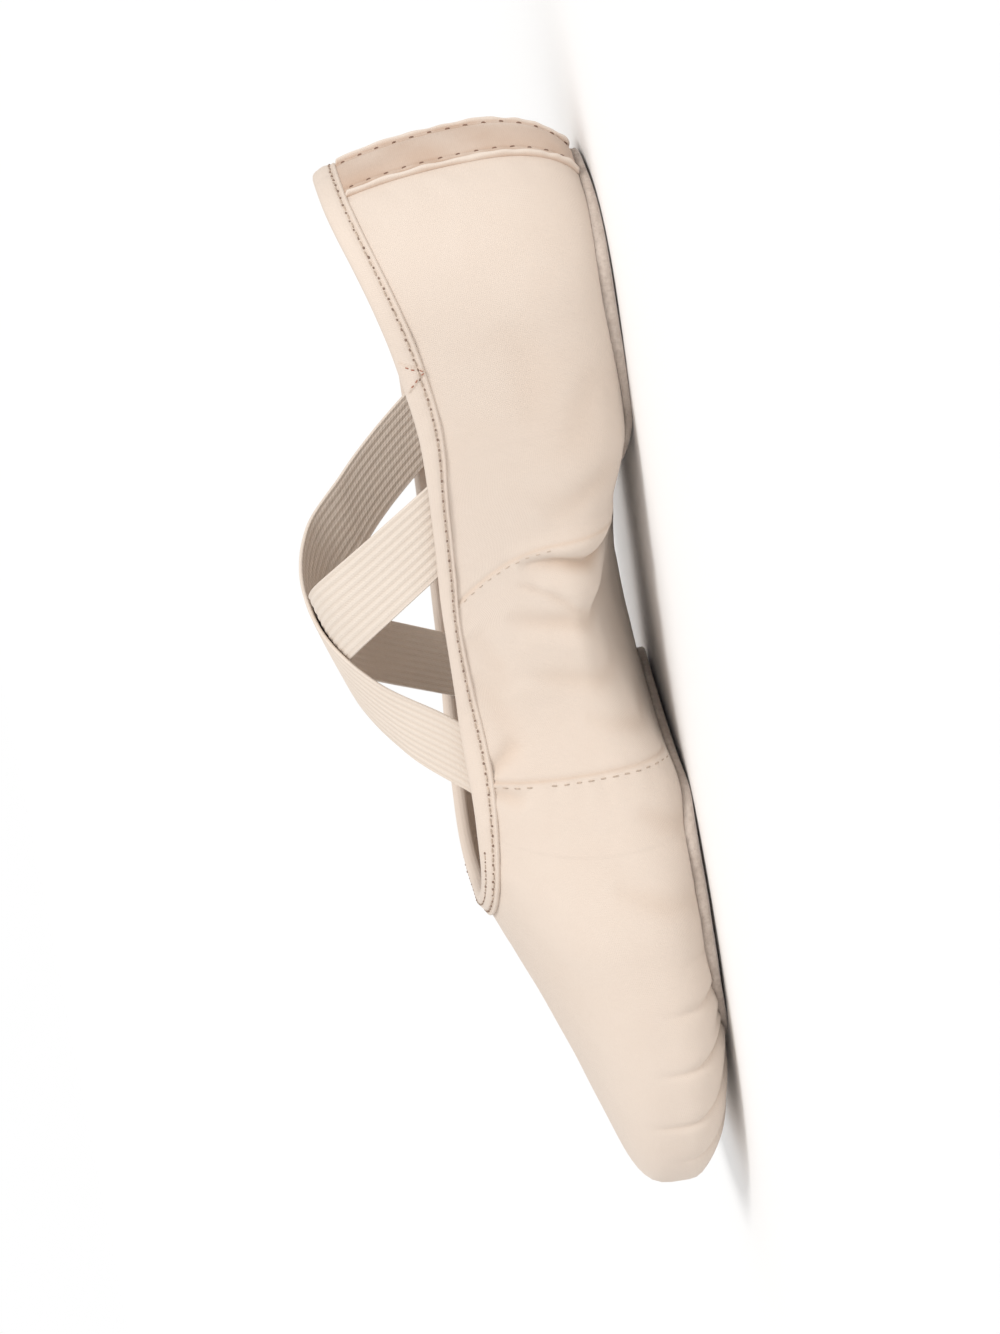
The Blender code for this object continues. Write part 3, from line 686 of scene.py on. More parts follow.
def suede_material(name):
    """Split suede: a short mottled nap that darkens towards its cut edge."""
    nodes = Nodes(bpy.data.materials.new(name))
    nap = nodes.noise(900.0, 6.0, 0.7)
    blotch = nodes.noise(120.0, 5.0, 0.65)
    cloud = nodes.ramp(nodes.noise(26.0, 2.0, 0.5), 0.35, 0.65)
    fine, patchy = nodes.ramp(nap, 0.36, 0.66), nodes.ramp(blotch, 0.38, 0.66)
    tone = nodes.total((fine, 0.30), (patchy, 0.26), (cloud, 0.12))
    height = nodes.total((nap, 1.0), (blotch, 1.5))
    return nodes.finish(nodes.shaded(tone, SUEDE, SUEDE_EDGE), height, 0.7, 0.30 * MM,
                        nodes.ramp(nap, -1.4, 0.8), 0.35, 0.4, 0.1)


def thread_material(name, colour):
    """Sewing thread with a fine twist."""
    nodes = Nodes(bpy.data.materials.new(name))
    twist = nodes.noise(2200.0, 2.0, 0.5)
    dark = tuple(c * 0.7 for c in colour)
    return nodes.finish(nodes.mix(nodes.ramp(twist, 0.35, 0.65), colour, dark), twist, 0.5, 0.08 * MM, 0.7)


def dress(piece, material, slot, *nodes):
    """Finish a piece, and say what it rides on and which solids it stands for."""
    piece.data.materials.clear()
    piece.data.materials.append(material)
    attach(piece, "root")
    if nodes:
        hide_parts(*nodes)


def patch_gap(points, patch):
    """How far points lie outside a patch's outline in plan: below zero inside it."""
    edge = place(*outline_points(patch, 0.0, 360), 0.0)
    middle = place((patch["back"] + patch["front"]) / 2 * LENGTH, 0.0, 0.0)
    spoke = edge - middle
    turns = np.arctan2(spoke[:, 1], spoke[:, 0])
    reach = np.hypot(spoke[:, 0], spoke[:, 1])
    order = np.argsort(turns)
    away = points - middle
    limit = np.interp(np.arctan2(away[:, 1], away[:, 0]), turns[order], reach[order], period=2 * np.pi)
    return np.hypot(away[:, 0], away[:, 1]) - limit


def fold_heights(points):
    """Heights of the listed soft folds."""
    height = np.zeros(len(points))
    for side, width, depth, knots in FOLDS:
        width, depth = width * MM, depth * MM
        path = surface_path(side, knots, 30)
        which, distance, along = path_distance(points, path, 3 * width)
        taper = np.sin(np.pi * np.clip(along, 0.0, 1.0)) ** 0.6
        size = width * (0.75 + 0.5 * along)
        height[which] += depth * bell(distance, size) * taper
    return height


def gather_heights(points, ribs, levels):
    """Heights of the gathers round the toe: sharp creases with soft pillows between them."""
    crease = np.zeros(len(points))
    dip = np.zeros(len(points))
    lap = np.zeros(len(points))
    for side, rib, lean, width, depth, top in GATHERS:
        knots = ((rib, -1.0), (rib + 0.6 * lean, 0.5 * top - 0.5), (rib + lean, top))
        path = surface_path(side, knots, 30)
        which, distance, along = path_distance(points, path, GATHER_REACH)
        fade = (1 - along) ** 0.7
        slope = bell(distance, width * MM * (1 + along))
        crease[which] = np.minimum(crease[which], -depth * MM * fade * slope)
        dip[which] = np.maximum(dip[which], fade ** 0.6 * bell(distance, PILLOW_REACH))
        crest = ease(0.5 + (ribs[which] - rib - along * lean) / 0.06) * ease(distance / (0.4 * MM))
        lap[which] = np.maximum(lap[which], depth * LAP * fade * crest * np.exp(-distance / LAP_REACH))
    zone = ease((ribs - 13.5) / 1.0) * (1 - ease((levels + 0.42) / 0.60))
    return (crease + lap) * ease((ribs - 13.2) / 0.6) + PILLOW * (1 - dip) * zone


def seam_heights(points, ribs, sides):
    """Heights and darkness of the seams that bound the arch panel: the dark line along each seam is partly
    its own dark join and partly painted shade in its groove.
    """
    height, dark = np.zeros(len(points)), np.zeros(len(points))
    for side in (1, -1):
        for knots, step_up, groove in ((REAR_SEAM, 0.16, 0.16), (FRONT_SEAM, 0.42, 0.30)):
            path = surface_path(side, knots, 80)
            which, distance, along = path_distance(points, path, SEAM_REACH)
            seam_rib = np.interp(along, np.linspace(0, 1, len(knots)), [k[0] for k in knots])
            ahead = ease(0.5 + (ribs[which] - seam_rib) / 0.05)
            wave = 1 + 0.30 * np.sin(along * line_length(path) / SEAM_WAVE * 2 * np.pi)
            rise = step_up * MM * wave * np.exp(-distance / SEAM_FADE) * ahead
            dent = groove * MM * bell(distance - 0.2 * MM, 0.55 * MM) * (1 - ahead)
            own = np.where(sides[which] == side, 1.0, 0.0)
            height[which] += own * (rise - dent)
            # a dark line along the seam: partly the seam's own dark join, partly painted shade in its
            # groove
            dark[which] = np.maximum(dark[which], own * 0.45 * bell(distance, 0.45 * MM))
    return height, dark


def upper_relief(points, ribs, sides, levels):
    """Height and darkness of the upper's relief, with none under patches, tape and heel strip. The darkness
    is painted shade in the creases, and a dark line at the arch seams that is partly painted shade.
    """
    waves = ripple(points, (0.070, 0.038), 0.22 * MM, 3) + ripple(points, (0.019,), 0.06 * MM, 5)
    seams, dark = seam_heights(points, ribs, sides)
    folds = fold_heights(points) + gather_heights(points, ribs, levels)
    under_collar = bell(1 - levels, 0.22) * ripple(points, (0.0085,), 0.16 * MM, 9)
    by_strip = bell(ribs - 1.1, 0.55) * ripple(points, (0.0062,), 0.16 * MM, 13)
    height = folds + waves + seams + under_collar + by_strip
    clear = np.minimum(patch_gap(points, HEEL_PATCH), patch_gap(points, FOREFOOT_PATCH))
    height *= np.where(levels < 0.05, ease((clear + 0.4 * MM) / (1.6 * MM)), 1.0)
    below_collar = 1 - ease((levels - SEAM_BELOW_COLLAR) / 0.07)
    height *= ease((levels + 2.0) / 0.1) * below_collar * ease((ribs - STRIP_RIB) / 0.35)
    # darker the deeper a fold or gather sinks: painted shade in the creases
    return height, np.maximum(dark, 0.60 * np.clip(-folds / (1.6 * MM), 0, 1)) * below_collar


def cloth_uv(run, rise):
    """The uv of a grid in metres, from the run of its columns and the rise of its rows."""
    return np.stack(np.broadcast_arrays(run[:, None], rise), axis=-1)


def make_upper():
    """The canvas wall with its folds, gathers and arch seams."""
    ribs, sides = loop_ribs((0.0, 0.9, 0.15), (0.9, 2.5, 0.05), (2.5, 7.6, 0.10), (7.6, 8.5, 0.025),
                            (8.5, 9.2, 0.035), (9.2, 10.6, 0.06), (10.6, 11.7, 0.025),
                            (11.7, 13.4, 0.06), (13.4, 19.0, 0.028))
    openings = OPENING(RIB_OUTLINE(ribs))
    openings = np.where(openings < LEAST_OPENING, 0.0, openings)
    corner_parts = np.linspace(0, 1, CORNER_ROWS + 1)[1:]
    over_parts = np.linspace(0, 1, UPPER_ROWS + 1)[1:]

    def grid(inset):
        flats = rib_flats(ribs, sides, openings, inset)
        corners, overs = rib_corners(ribs, sides, inset), rib_overs(ribs, sides, inset)
        corners = np.array([along_line(line, corner_parts) for line in corners])
        overs = np.array([along_line(line, over_parts) for line in overs])
        return np.concatenate((flats, corners, overs), axis=1)

    outer, inner = grid(0.0), grid(WALL)
    columns, rows = outer.shape[:2]
    row_levels = np.concatenate((np.linspace(-2, -1, FLAT_ROWS + 1), corner_parts - 1, over_parts))
    height, dark = upper_relief(outer.reshape(-1, 3), np.repeat(ribs, rows), np.repeat(sides, rows),
                                np.tile(row_levels, columns))
    height = height.reshape(columns, rows)[..., None]
    outer_ways = grid_normals(outer, True)
    outer = outer + outer_ways * height
    keep = np.unique(np.concatenate((np.arange(0, rows, INNER_ROW_STEP), [rows - 1])))
    inner = (inner + outer_ways * height)[:, keep]
    uv = cloth_uv(run_along(outer[:, rows // 2]), rise_along(outer))
    return grid_object("upper_canvas", outer, inner, True, uv, dark.reshape(columns, rows), uv[:, keep],
                       openings > 0)


def collar_frames(ribs, sides, depths):
    """Points on the outer face at depths under the collar edge, with their outward normals."""
    overs = rib_overs(ribs, sides, 0.0)
    points = np.array([along_line(over, 1 - np.asarray(depths) / line_length(over)) for over in overs])
    return points, grid_normals(points, True)


def make_binding():
    """The folded tape over the collar edge, with its stitch groove and its overlapped ends."""
    ribs, sides = loop_ribs((0.0, 4.6, 0.055), (4.6, 5.5, 0.014), (5.5, 13.0, 0.055), (13.0, 19.0, 0.045))
    depths = MM * np.array((4.60, 4.50, 4.30, 4.00, 3.70, 3.45, 3.20, 2.80, 2.30, 1.70, 1.00, 0.40, 0.0))
    steps = len(depths)
    points, ways = collar_frames(ribs, sides, depths)
    up = unit(points[:, -1] - points[:, -2])
    middle = points[:, -1] - ways[:, -1] * WALL / 2
    run = run_along(middle)
    beat = np.sin(run / STITCH_PITCH * 2 * np.pi)[:, None]
    uneven = ripple(middle, (0.009, 0.005), 1.0, 17)[:, None]
    dip = bell(depths - STITCH_DEPTH, 0.55 * MM)[None, :]
    casing = bell(depths - CASING_DEPTH, 1.2 * MM)[None, :]
    hem = bell(depths - HEM_DEPTH, 0.35 * MM)[None, :]
    puff = casing * (0.26 + 0.06 * uneven) - dip * (0.30 + 0.10 * beat) + hem * (0.05 + 0.05 * beat)
    offset = np.abs(run - np.interp(JOIN_RIB, ribs[sides > 0], run[sides > 0]))[:, None]
    flap = JOIN_FOOT + JOIN_SPREAD * (1 - depths / BINDING_DEPTH)[None, :]
    puff = puff + 0.34 * ease(0.5 + (flap - offset) / (0.4 * MM))
    edge = np.sqrt(np.clip((BINDING_DEPTH - depths) / (0.45 * MM), 0, 1))[None, :]
    thick = BED + BINDING_THICK * (0.30 + 0.70 * edge) + puff * MM
    profiles = []
    faces = ((thick, BED + BINDING_THICK * edge), (BED + 0 * thick, BED + 0 * edge))
    for outside_lift, inside_lift in faces:
        outside = points + ways * outside_lift[..., None]
        inside = (points - ways * (WALL + inside_lift)[..., None])[:, ::-1]
        turns = np.linspace(0, np.pi, 9)[1:-1]
        radius = WALL / 2 + inside_lift[0, -1]
        over = [middle + ways[:, -1] * radius * math.cos(t) + up * radius * 0.85 * math.sin(t)
                for t in turns]
        profiles.append(np.concatenate((outside, np.stack(over, axis=1), inside), axis=1))
    outer, inner = profiles
    rows = outer.shape[1]
    uv = cloth_uv(run, np.linspace(0, TAPE_ROUND, rows))
    dark = np.zeros((len(ribs), rows))
    # painted shade in the stitch groove and along the edge of the overlapping end, and on the lowest row
    # where the tape's lower edge meets the canvas
    dark[:, :steps] = 0.22 * dip + 0.35 * bell(offset - flap, 0.3 * MM)
    dark[:, 0] = 0.20
    return grid_object("binding_tape", outer, inner, True, uv, dark)


def join_arm(sign):
    """Path of the stitches along one arm of the V where the tape's ends overlap."""
    depths = np.linspace(BINDING_DEPTH - 0.5 * MM, 0.2 * MM, 12)
    reach = JOIN_FOOT + JOIN_SPREAD * (1 - depths / BINDING_DEPTH) - 0.55 * MM
    overs = rib_overs(JOIN_RIB + sign * reach / COLLAR_RUN_PER_RIB, np.ones(len(reach)), 0.0)
    path = [along_line(over, [1 - depth / line_length(over)])[0] for over, depth in zip(overs, depths)]
    return np.array(path) + np.array((0.0, 2.0 * MM, 0.0))


def strip_grid(fractions, rows):
    """Points of the heel strip's bed on the wall, from the patch up to the binding."""
    columns = []
    for fraction in fractions:
        across = HEEL_STRIP_WIDTH / 2 * fraction
        side = 1.0 if across >= 0 else -1.0
        out = min(abs(across) / half_width(0.0, 1, 0.0), 1.0)
        at = HEEL_END * (1 - (1 - out ** HEEL_ROUND) ** (1 / HEEL_ROUND))
        numbers = np.linspace(0, 4, 4001)
        rib = np.array([np.interp(at, RIB_OUTLINE(numbers), numbers)])
        over = rib_overs(rib, np.array([side]), 0.0)[0][::-1]
        over = along_line(over, np.linspace((BINDING_DEPTH - 0.3 * MM) / line_length(over), 1, FINE_STEPS))
        corner = rib_corners(rib, np.array([side]), 0.0)[0][::-1]
        x = corner[:, 0] + ORIGIN_AT * LENGTH
        widest, back = HEEL_PATCH["widest"] * LENGTH, (HEEL_PATCH["widest"] - HEEL_PATCH["back"]) * LENGTH
        level = np.abs(x - widest) / back
        level = level ** HEEL_ROUND + (np.abs(corner[:, 1]) / (HEEL_PATCH["width"] / 2)) ** HEEL_ROUND
        corner = corner[level >= 1.01]
        line = np.concatenate((over, corner[1:]))
        columns.append(along_line(line, np.linspace(0, 1, rows + 1))[::-1])
    return np.array(columns)


def make_heel_strip():
    """The back strip with a raised, puckered seam along each edge."""
    rows = 170
    half = HEEL_STRIP_WIDTH / 2
    side_fractions = STRIP_STRANDS / half - 1
    fractions = np.concatenate((side_fractions, [0.0], -side_fractions[::-1]))
    bed = strip_grid(fractions, rows)
    ways = grid_normals(bed, False)
    inset = (half * (1 - np.abs(fractions)))[:, None]
    sign = np.sign(fractions)[:, None]
    along = np.linspace(0, 1, rows + 1)[None, :]
    rise = rise_along(bed)
    wobble = ripple(bed + sign[..., None] * 0.07, (0.0045, 0.0027), 0.16, 41)
    tube = np.sqrt(np.clip(1 - ((inset - STRIP_SEAM_AT) / STRIP_SEAM_RADIUS) ** 2, 0, 1))
    seam = 1.30 * MM * tube * (1 + wobble)
    gutter = 0.30 * MM * bell(inset - STRIP_GUTTER_AT, 0.30 * MM)
    beat = 0.5 * np.sin(rise / STRIP_PITCH * 2 * np.pi + 0.8 * sign) + 1.2 * wobble / 0.16 * 0.5
    pucker = bell(inset - STRIP_PUCKER_AT, 0.9 * MM) * MM * (0.12 + 0.09 * beat)
    dent = bell(inset - STRIP_STITCH_AT, 0.5 * MM) * MM * (0.16 - 0.06 * beat)
    swell = 0.22 * MM + ripple(bed, (0.017, 0.009), 0.16 * MM, 11)
    middle = ease((inset - 3.6 * MM) / (3.0 * MM)) * swell
    flat = 0.35 * MM * ease((inset - 0.9 * MM) / (0.4 * MM))
    height = BED + seam + flat - gutter + pucker - dent + middle
    height = np.maximum(height, BED + 0.04 * MM)
    ends = ease(along / 0.02) * ease((1 - along) / 0.02)
    height = BED + 0.25 * MM + (height - BED - 0.25 * MM) * ends
    height[0] = height[-1] = BED + 0.02 * MM
    # The strip's cloth is mixed halfway to STRIP_SHADE, partly its own pinker tone and partly painted
    # shade; the gutter and the stitch dents get more painted shade
    dark = 0.50 + 0.30 * bell(inset - STRIP_GUTTER_AT, 0.28 * MM)
    dark = dark + 0.20 * bell(inset - STRIP_STITCH_AT, 0.5 * MM)
    # painted highlight on the raised seam and on the pucker crests; the ripple below is random tone
    dark = dark - 0.75 * tube - 0.10 * beat * bell(inset - STRIP_PUCKER_AT, 1.2 * MM)
    dark = dark + ripple(bed, (0.020, 0.011), 0.10, 43)
    top = bed + ways * height[..., None]
    uv = cloth_uv(fractions * half, rise)
    return grid_object("back_strip", top, bed + ways * BED * 0.5, False, uv, dark)


def patch_outline(patch, turn, margin):
    """Plan points on a patch's outline, with the outline grown by a margin."""
    ahead, aside = np.cos(turn), np.sin(turn)
    power = 2 / np.where(ahead > 0, patch["front_round"], patch["back_round"])
    along = np.copysign(np.abs(ahead) ** power, ahead)
    out = np.copysign(np.abs(aside) ** power, aside)
    widest = patch["widest"] * LENGTH
    end = np.where(ahead > 0, patch["front"], patch["back"])
    reach = np.abs(end * LENGTH - widest) + margin
    to_arch = np.maximum(0.0, along * patch["arch_end"])
    narrow = 1 - (1 - patch["taper"]) * to_arch ** 1.5
    x = widest + along * reach + patch["slant"] * patch["width"] * out * to_arch ** 2
    return x, out * narrow * (patch["width"] / 2 + margin)


def outline_points(patch, margin, count):
    """Evenly spaced plan points on a patch's outline, grown by a margin."""
    turn = np.linspace(0, 2 * np.pi, 4001)
    x, across = patch_outline(patch, turn, margin)
    lengths = np.concatenate(([0.0], np.cumsum(np.hypot(np.diff(x), np.diff(across)))))
    even = np.interp(np.linspace(0, lengths[-1], count + 1)[:-1], lengths, turn)
    return patch_outline(patch, even, margin)


def outward_ways(x, across):
    """Ways out of a closed outline in plan, at each of its points."""
    ways = np.stack((np.roll(across, -1) - np.roll(across, 1), np.roll(x, 1) - np.roll(x, -1)))
    return ways / np.hypot(*ways)


def make_pad(name, patch, margin, inset, thickness, up, edge_round, relief):
    """A patch or pad that follows the underside of the last, with a rounded edge."""
    x_edge, across_edge = outline_points(patch, margin, PAD_SPOKES)
    middle = (patch["back"] + patch["front"]) / 2 * LENGTH
    reach = np.hypot(x_edge - middle, across_edge)
    fray = ripple(np.stack((x_edge, across_edge, 0 * x_edge), axis=-1), (0.0035, 0.0021), 0.07 * MM, 31)
    reach_share = 1 + fray / reach
    x_edge, across_edge = middle + (x_edge - middle) * reach_share, across_edge * reach_share
    band = np.concatenate((np.linspace(0.0, 0.78, 12), np.linspace(0.80, 0.97, 24), (0.985, 0.993, 1.0)))
    x = middle + (x_edge - middle)[:, None] * band[None, :]
    across = across_edge[:, None] * band[None, :]
    bed = on_underside(x, across, inset)
    far = on_underside(x, across, inset + (thickness if up else -thickness))
    from_edge = (1 - band)[None, :] * reach[:, None]
    round_off = edge_round * (1 - np.sqrt(np.clip(1 - (1 - from_edge / edge_round).clip(0, 1) ** 2, 0, 1)))
    lift = round_off + relief(from_edge, bed)
    far = far + unit(bed - far) * np.minimum(lift, thickness * 0.8)[..., None]
    # darker at the cut edge, the suede's own edge colour, and painted shade in the stitch groove; the
    # lining pads take a third of this
    dark = 0.22 * bell(from_edge, 0.4 * MM) + 0.12 * bell(from_edge - PATCH_STITCH, MM)
    uv = np.stack((x, across), axis=-1)
    if up:
        return grid_object(name, far, bed, True, uv, dark * 0.3)
    return grid_object(name, far[::-1], bed[::-1], True, uv[::-1], dark[::-1])


def suede_relief(from_edge, bed):
    """Groove along the patch's stitches and the slight waves of its skin."""
    groove = 0.36 * MM * bell(from_edge - PATCH_STITCH, 0.9 * MM)
    waves = np.maximum(0.0, ripple(bed, (0.020, 0.011), 0.07 * MM, 21))
    return groove + waves


def insole_relief(from_edge, bed):
    """Soft dimples of a thin foam pad, the same all over its bed."""
    return 0.25 * MM * bell(from_edge - 2.2 * MM, 1.2 * MM)


def make_fuzz(name, patch, count):
    """Loose fibres along the raw cut edge of a suede patch."""
    x, across = outline_points(patch, 0.0, count)
    out_x, out_y = outward_ways(x, across)
    lift = RANDOM.uniform(0.12, 0.98, count)
    top, foot = on_underside(x, across, -BED), on_underside(x, across, -GAP - SOLE_THICK)
    roots = foot + (top - foot) * lift[:, None]
    outward = np.stack((out_x, out_y, 0 * out_x), axis=-1)
    lean = RANDOM.normal(0.0, 0.75, (count, 3))
    lean[:, 2] = np.abs(lean[:, 2]) * 0.5
    ways = unit(outward * RANDOM.uniform(0.5, 1.0, count)[:, None] + lean * 0.55)
    long = RANDOM.uniform(0.16, 0.46, count) * MM
    side_way = unit(np.cross(ways, np.array((0.0, 0.0, 1.0))))
    up_way = np.cross(side_way, ways)
    roots = roots - outward * 0.05 * MM
    corners = [roots + (side_way * math.cos(a) + up_way * math.sin(a)) * FIBRE_THICK
               for a in (0.0, 2.1, 4.2)]
    points = np.stack(corners + [roots + ways * long[:, None]], axis=1)
    faces = [(0, 2, 1), (0, 1, 3), (1, 2, 3), (2, 0, 3)]
    return joined(name, [(group, faces) for group in points])


def section_line(at, side, inset, steps):
    """A section above its widest line, from the ridge out, with each point's share of the half width."""
    low = INSTEP_HEIGHT * WIDEST(at)
    high = INSTEP_HEIGHT * RIDGE(at) - inset
    power = 2 / CROWN(at)
    turn = np.pi / 2 * np.linspace(0, 1, steps)
    out = np.sin(turn) ** power
    across = side * out * half_width(at, side, inset)
    return place(at * LENGTH, across, low + (high - low) * np.cos(turn) ** power), out


def collar_depth(station, side, inset):
    """Length over the instep from the ridge to the collar edge at a station."""
    numbers = np.linspace(0, LAST_RIB, 4001)
    rib = np.interp(station, RIB_COLLAR(numbers), numbers)
    reach = INNER_REACH(rib) if side > 0 else OUTER_REACH(rib)
    line, out = section_line(station, side, inset, 400)
    return line_length(line[out <= reach])


def make_elastic(name, start_side, lift):
    """A flat band over the instep with ribs along it, tucked inside the collar at both ends."""
    strands, steps = ELASTIC_STRANDS, ELASTIC_STEPS
    inset = WALL + 3 * GAP + BINDING_THICK
    back = collar_depth(ELASTIC_BACK, start_side, inset) + ELASTIC_TUCK
    front = collar_depth(ELASTIC_FRONT, -start_side, inset) + ELASTIC_TUCK
    run = np.array(((ELASTIC_FRONT - ELASTIC_BACK) * LENGTH, -(back + front)))
    length = np.linalg.norm(run)
    along_way = run / length
    wide_way = np.array((-along_way[1], along_way[0]))
    columns = []
    for k in range(strands + 1):
        shift = ELASTIC_WIDTH * (k / strands - 0.5)
        line = []
        for i in range(steps + 1):
            t = i / steps
            x = ELASTIC_BACK * LENGTH + run[0] * t + wide_way[0] * shift
            over = back + run[1] * t + wide_way[1] * shift
            side = start_side if over >= 0 else -start_side
            raised = lift * (1 - ease((abs(over) - CROSSING_REACH) / CROSSING_FADE))
            section = section_line(x / LENGTH, side, inset - raised, FINE_STEPS + 1)[0]
            line.append(along_line(section, [min(abs(over) / line_length(section), 1.0)])[0])
        columns.append(line)
    grid = np.array(columns)
    across = np.linspace(-1, 1, strands + 1)
    if start_side < 0:
        grid = grid[::-1]
    ways = grid_normals(grid, False)
    cords = 0.5 + 0.5 * np.cos(across * np.pi * ELASTIC_CORDS)
    edge = np.abs(across)
    crown = np.where(edge > 0.96, np.sqrt(np.clip(1 - ((edge - 0.96) / 0.04) ** 2, 0, 1)), 1.0)
    slack = (0.5 + 0.5 * np.sin(np.linspace(0, length, steps + 1) / (1.3 * MM)))[None, :]
    dent = (ELASTIC_GROOVE * (1 - cords) + ELASTIC_EDGE * (1 - crown))[:, None]
    top = -dent - 0.03 * MM * slack
    bottom = dent - ELASTIC_THICK + 0 * slack
    # painted shade in the grooves between the cords; the two outermost strands are a little darker
    dark = np.repeat((0.30 * (1 - cords) ** 2 + 0.10 * (edge > 0.97))[:, None], steps + 1, axis=1)
    uv = cloth_uv(across * ELASTIC_WIDTH / 2, np.linspace(0, length, steps + 1))
    outer, inner = (grid + ways * level[..., None] for level in (top, bottom))
    return grid_object(name, outer, inner, False, uv, dark), float(length)


def joined(name, parts):
    """One object from many (points, faces) parts."""
    points, faces, start = [], [], 0
    for part_points, part_faces in parts:
        points.append(part_points)
        faces += [tuple(i + start for i in face) for face in part_faces]
        start += len(part_points)
    mesh = bpy.data.meshes.new(name)
    mesh.from_pydata(np.concatenate(points).tolist(), [], faces)
    return new_piece(name, mesh)


def stitch(centre, way, normal, length, radius, sink):
    """A short arched thread whose ends dip into the cloth."""
    rings, sides = 7, 6
    side_way = np.cross(normal, way)
    points = []
    for i in range(rings):
        t = i / (rings - 1) * 2 - 1
        core = centre + way * t * length / 2 + normal * (radius * 0.55 - (sink + radius) * t ** 4)
        size = radius * math.sqrt(max(0.12, 1 - t ** 4))
        for k in range(sides):
            angle = 2 * np.pi * k / sides
            points.append(core + (side_way * math.cos(angle) + normal * 0.8 * math.sin(angle)) * size)
    faces = []
    for i in range(rings - 1):
        for k in range(sides):
            a, b = i * sides + k, i * sides + (k + 1) % sides
            faces.append((a, a + sides, b + sides, b))
    faces.append(tuple(range(sides)))
    faces.append(tuple(reversed(range((rings - 1) * sides, rings * sides))))
    return np.array(points), faces


def on_surface(tree, path, spacing, start=0.5):
    """Places evenly spaced along a path, on the nearest surface: (point, way, normal)."""
    length = line_length(path)
    count = max(2, int(length / spacing))
    at = np.arange(count) + start
    shares = [np.clip((at + shift) / count, 0, 1) for shift in (0, 0.2, -0.2)]
    spots, ahead, behind = (along_line(path, share) for share in shares)
    places = []
    for spot, a, b in zip(spots, behind, ahead):
        hit, normal, _, _ = tree.find_nearest(Vector(spot))
        normal = np.array(normal)
        way = b - a
        places.append((np.array(hit), unit(way - normal * (way @ normal)), normal))
    return places


def surface_tree(thing):
    """A search tree over a piece's mesh."""
    points = [v.co for v in thing.data.vertices]
    return BVHTree.FromPolygons(points, [tuple(p.vertices) for p in thing.data.polygons])


def sew(name, tree, paths, spacing, length, radius, material, slot, sink=0.10 * MM):
    """Rows of stitches along paths, dressed."""
    parts = []
    for path in paths:
        for centre, way, normal in on_surface(tree, path, spacing):
            turn = RANDOM.uniform(-0.10, 0.10)
            way = way * math.cos(turn) + np.cross(normal, way) * math.sin(turn)
            parts.append(stitch(centre, way, normal, length * RANDOM.uniform(0.9, 1.1), radius, sink))
    dress(joined(name, parts), material, slot)


def collar_path(depth, ribs, sides):
    """The path on the binding's outer face at a depth under the edge."""
    points, ways = collar_frames(ribs, sides, (BINDING_DEPTH, depth, 0.0))
    return points[:, 1] + ways[:, 1] * (BED + BINDING_THICK + 0.4 * MM)


def patch_path(patch):
    """The closed path of a patch's stitches, just under the patch."""
    x, across = outline_points(patch, 0.0, 300)
    out_x, out_y = outward_ways(x, across)
    x, across = x - out_x * PATCH_STITCH, across - out_y * PATCH_STITCH
    path = on_underside(x, across, -GAP - SOLE_THICK) - np.array((0.0, 0.0, 0.5 * MM))
    return np.concatenate((path, path[:1]))


looks = bpy.data.collections.new("looks")
bpy.context.scene.collection.children.link(looks)

# Materials
canvas = cloth_material("canvas", CANVAS, CANVAS_SHADE, 0.42 * MM)
tape = cloth_material("tape", CANVAS, CANVAS_SHADE, 0.45 * MM, 0.4)
strip_cloth = cloth_material("strip_cloth", CANVAS, STRIP_SHADE, 0.42 * MM, 0.4, mottled=0.16)
lining = cloth_material("lining", LINING, CANVAS_SHADE, 0.8 * MM, 0.5, True)
elastic = cloth_material("elastic", ELASTIC, ELASTIC_SHADE, 0.5 * MM, 0.5, True)
suede = suede_material("suede")
threads = {name: thread_material(name, colour) for name, colour in THREADS.items()}

# Pieces that stand for solids
upper = make_upper()
dress(upper, canvas, "canvas", "upper")
binding = make_binding()
dress(binding, tape, "binding", "collar_binding")
strip = make_heel_strip()
dress(strip, strip_cloth, "strip", "heel_strip")

for name, patch, node, fibres in (("heel_suede", HEEL_PATCH, "sole_heel", 1500),
                                  ("forefoot_suede", FOREFOOT_PATCH, "sole_forefoot", 2200)):
    piece = make_pad(name, patch, 0.0, -BED, SOLE_THICK + GAP - BED, False, 0.4 * MM, suede_relief)
    dress(piece, suede, "suede", node)
    dress(make_fuzz(name + "_fuzz", patch, fibres), threads["suede_fibre"], "suede")
    sew(name + "_stitches", surface_tree(piece), [patch_path(patch)], 3.2 * MM, 1.9 * MM, 0.17 * MM,
        threads["suede_thread"], "suede", 0.20 * MM)

for name, patch, node in (("heel_pad", HEEL_PATCH, "insole_heel"),
                          ("forefoot_pad", FOREFOOT_PATCH, "insole_forefoot")):
    pad = make_pad(name, patch, -INSOLE_MARGIN, WALL + 2 * GAP, INSOLE_THICK, True, 1.2 * MM,
                   insole_relief)
    dress(pad, lining, "lining", node)

for name, start_side, lift, node in (("band_inner", 1, 0.0, "elastic_inner"),
                                     ("band_outer", -1, ELASTIC_THICK + 1.5 * GAP, "elastic_outer")):
    band, band_length = make_elastic(name, start_side, lift)
    dress(band, elastic, "elastic", node)

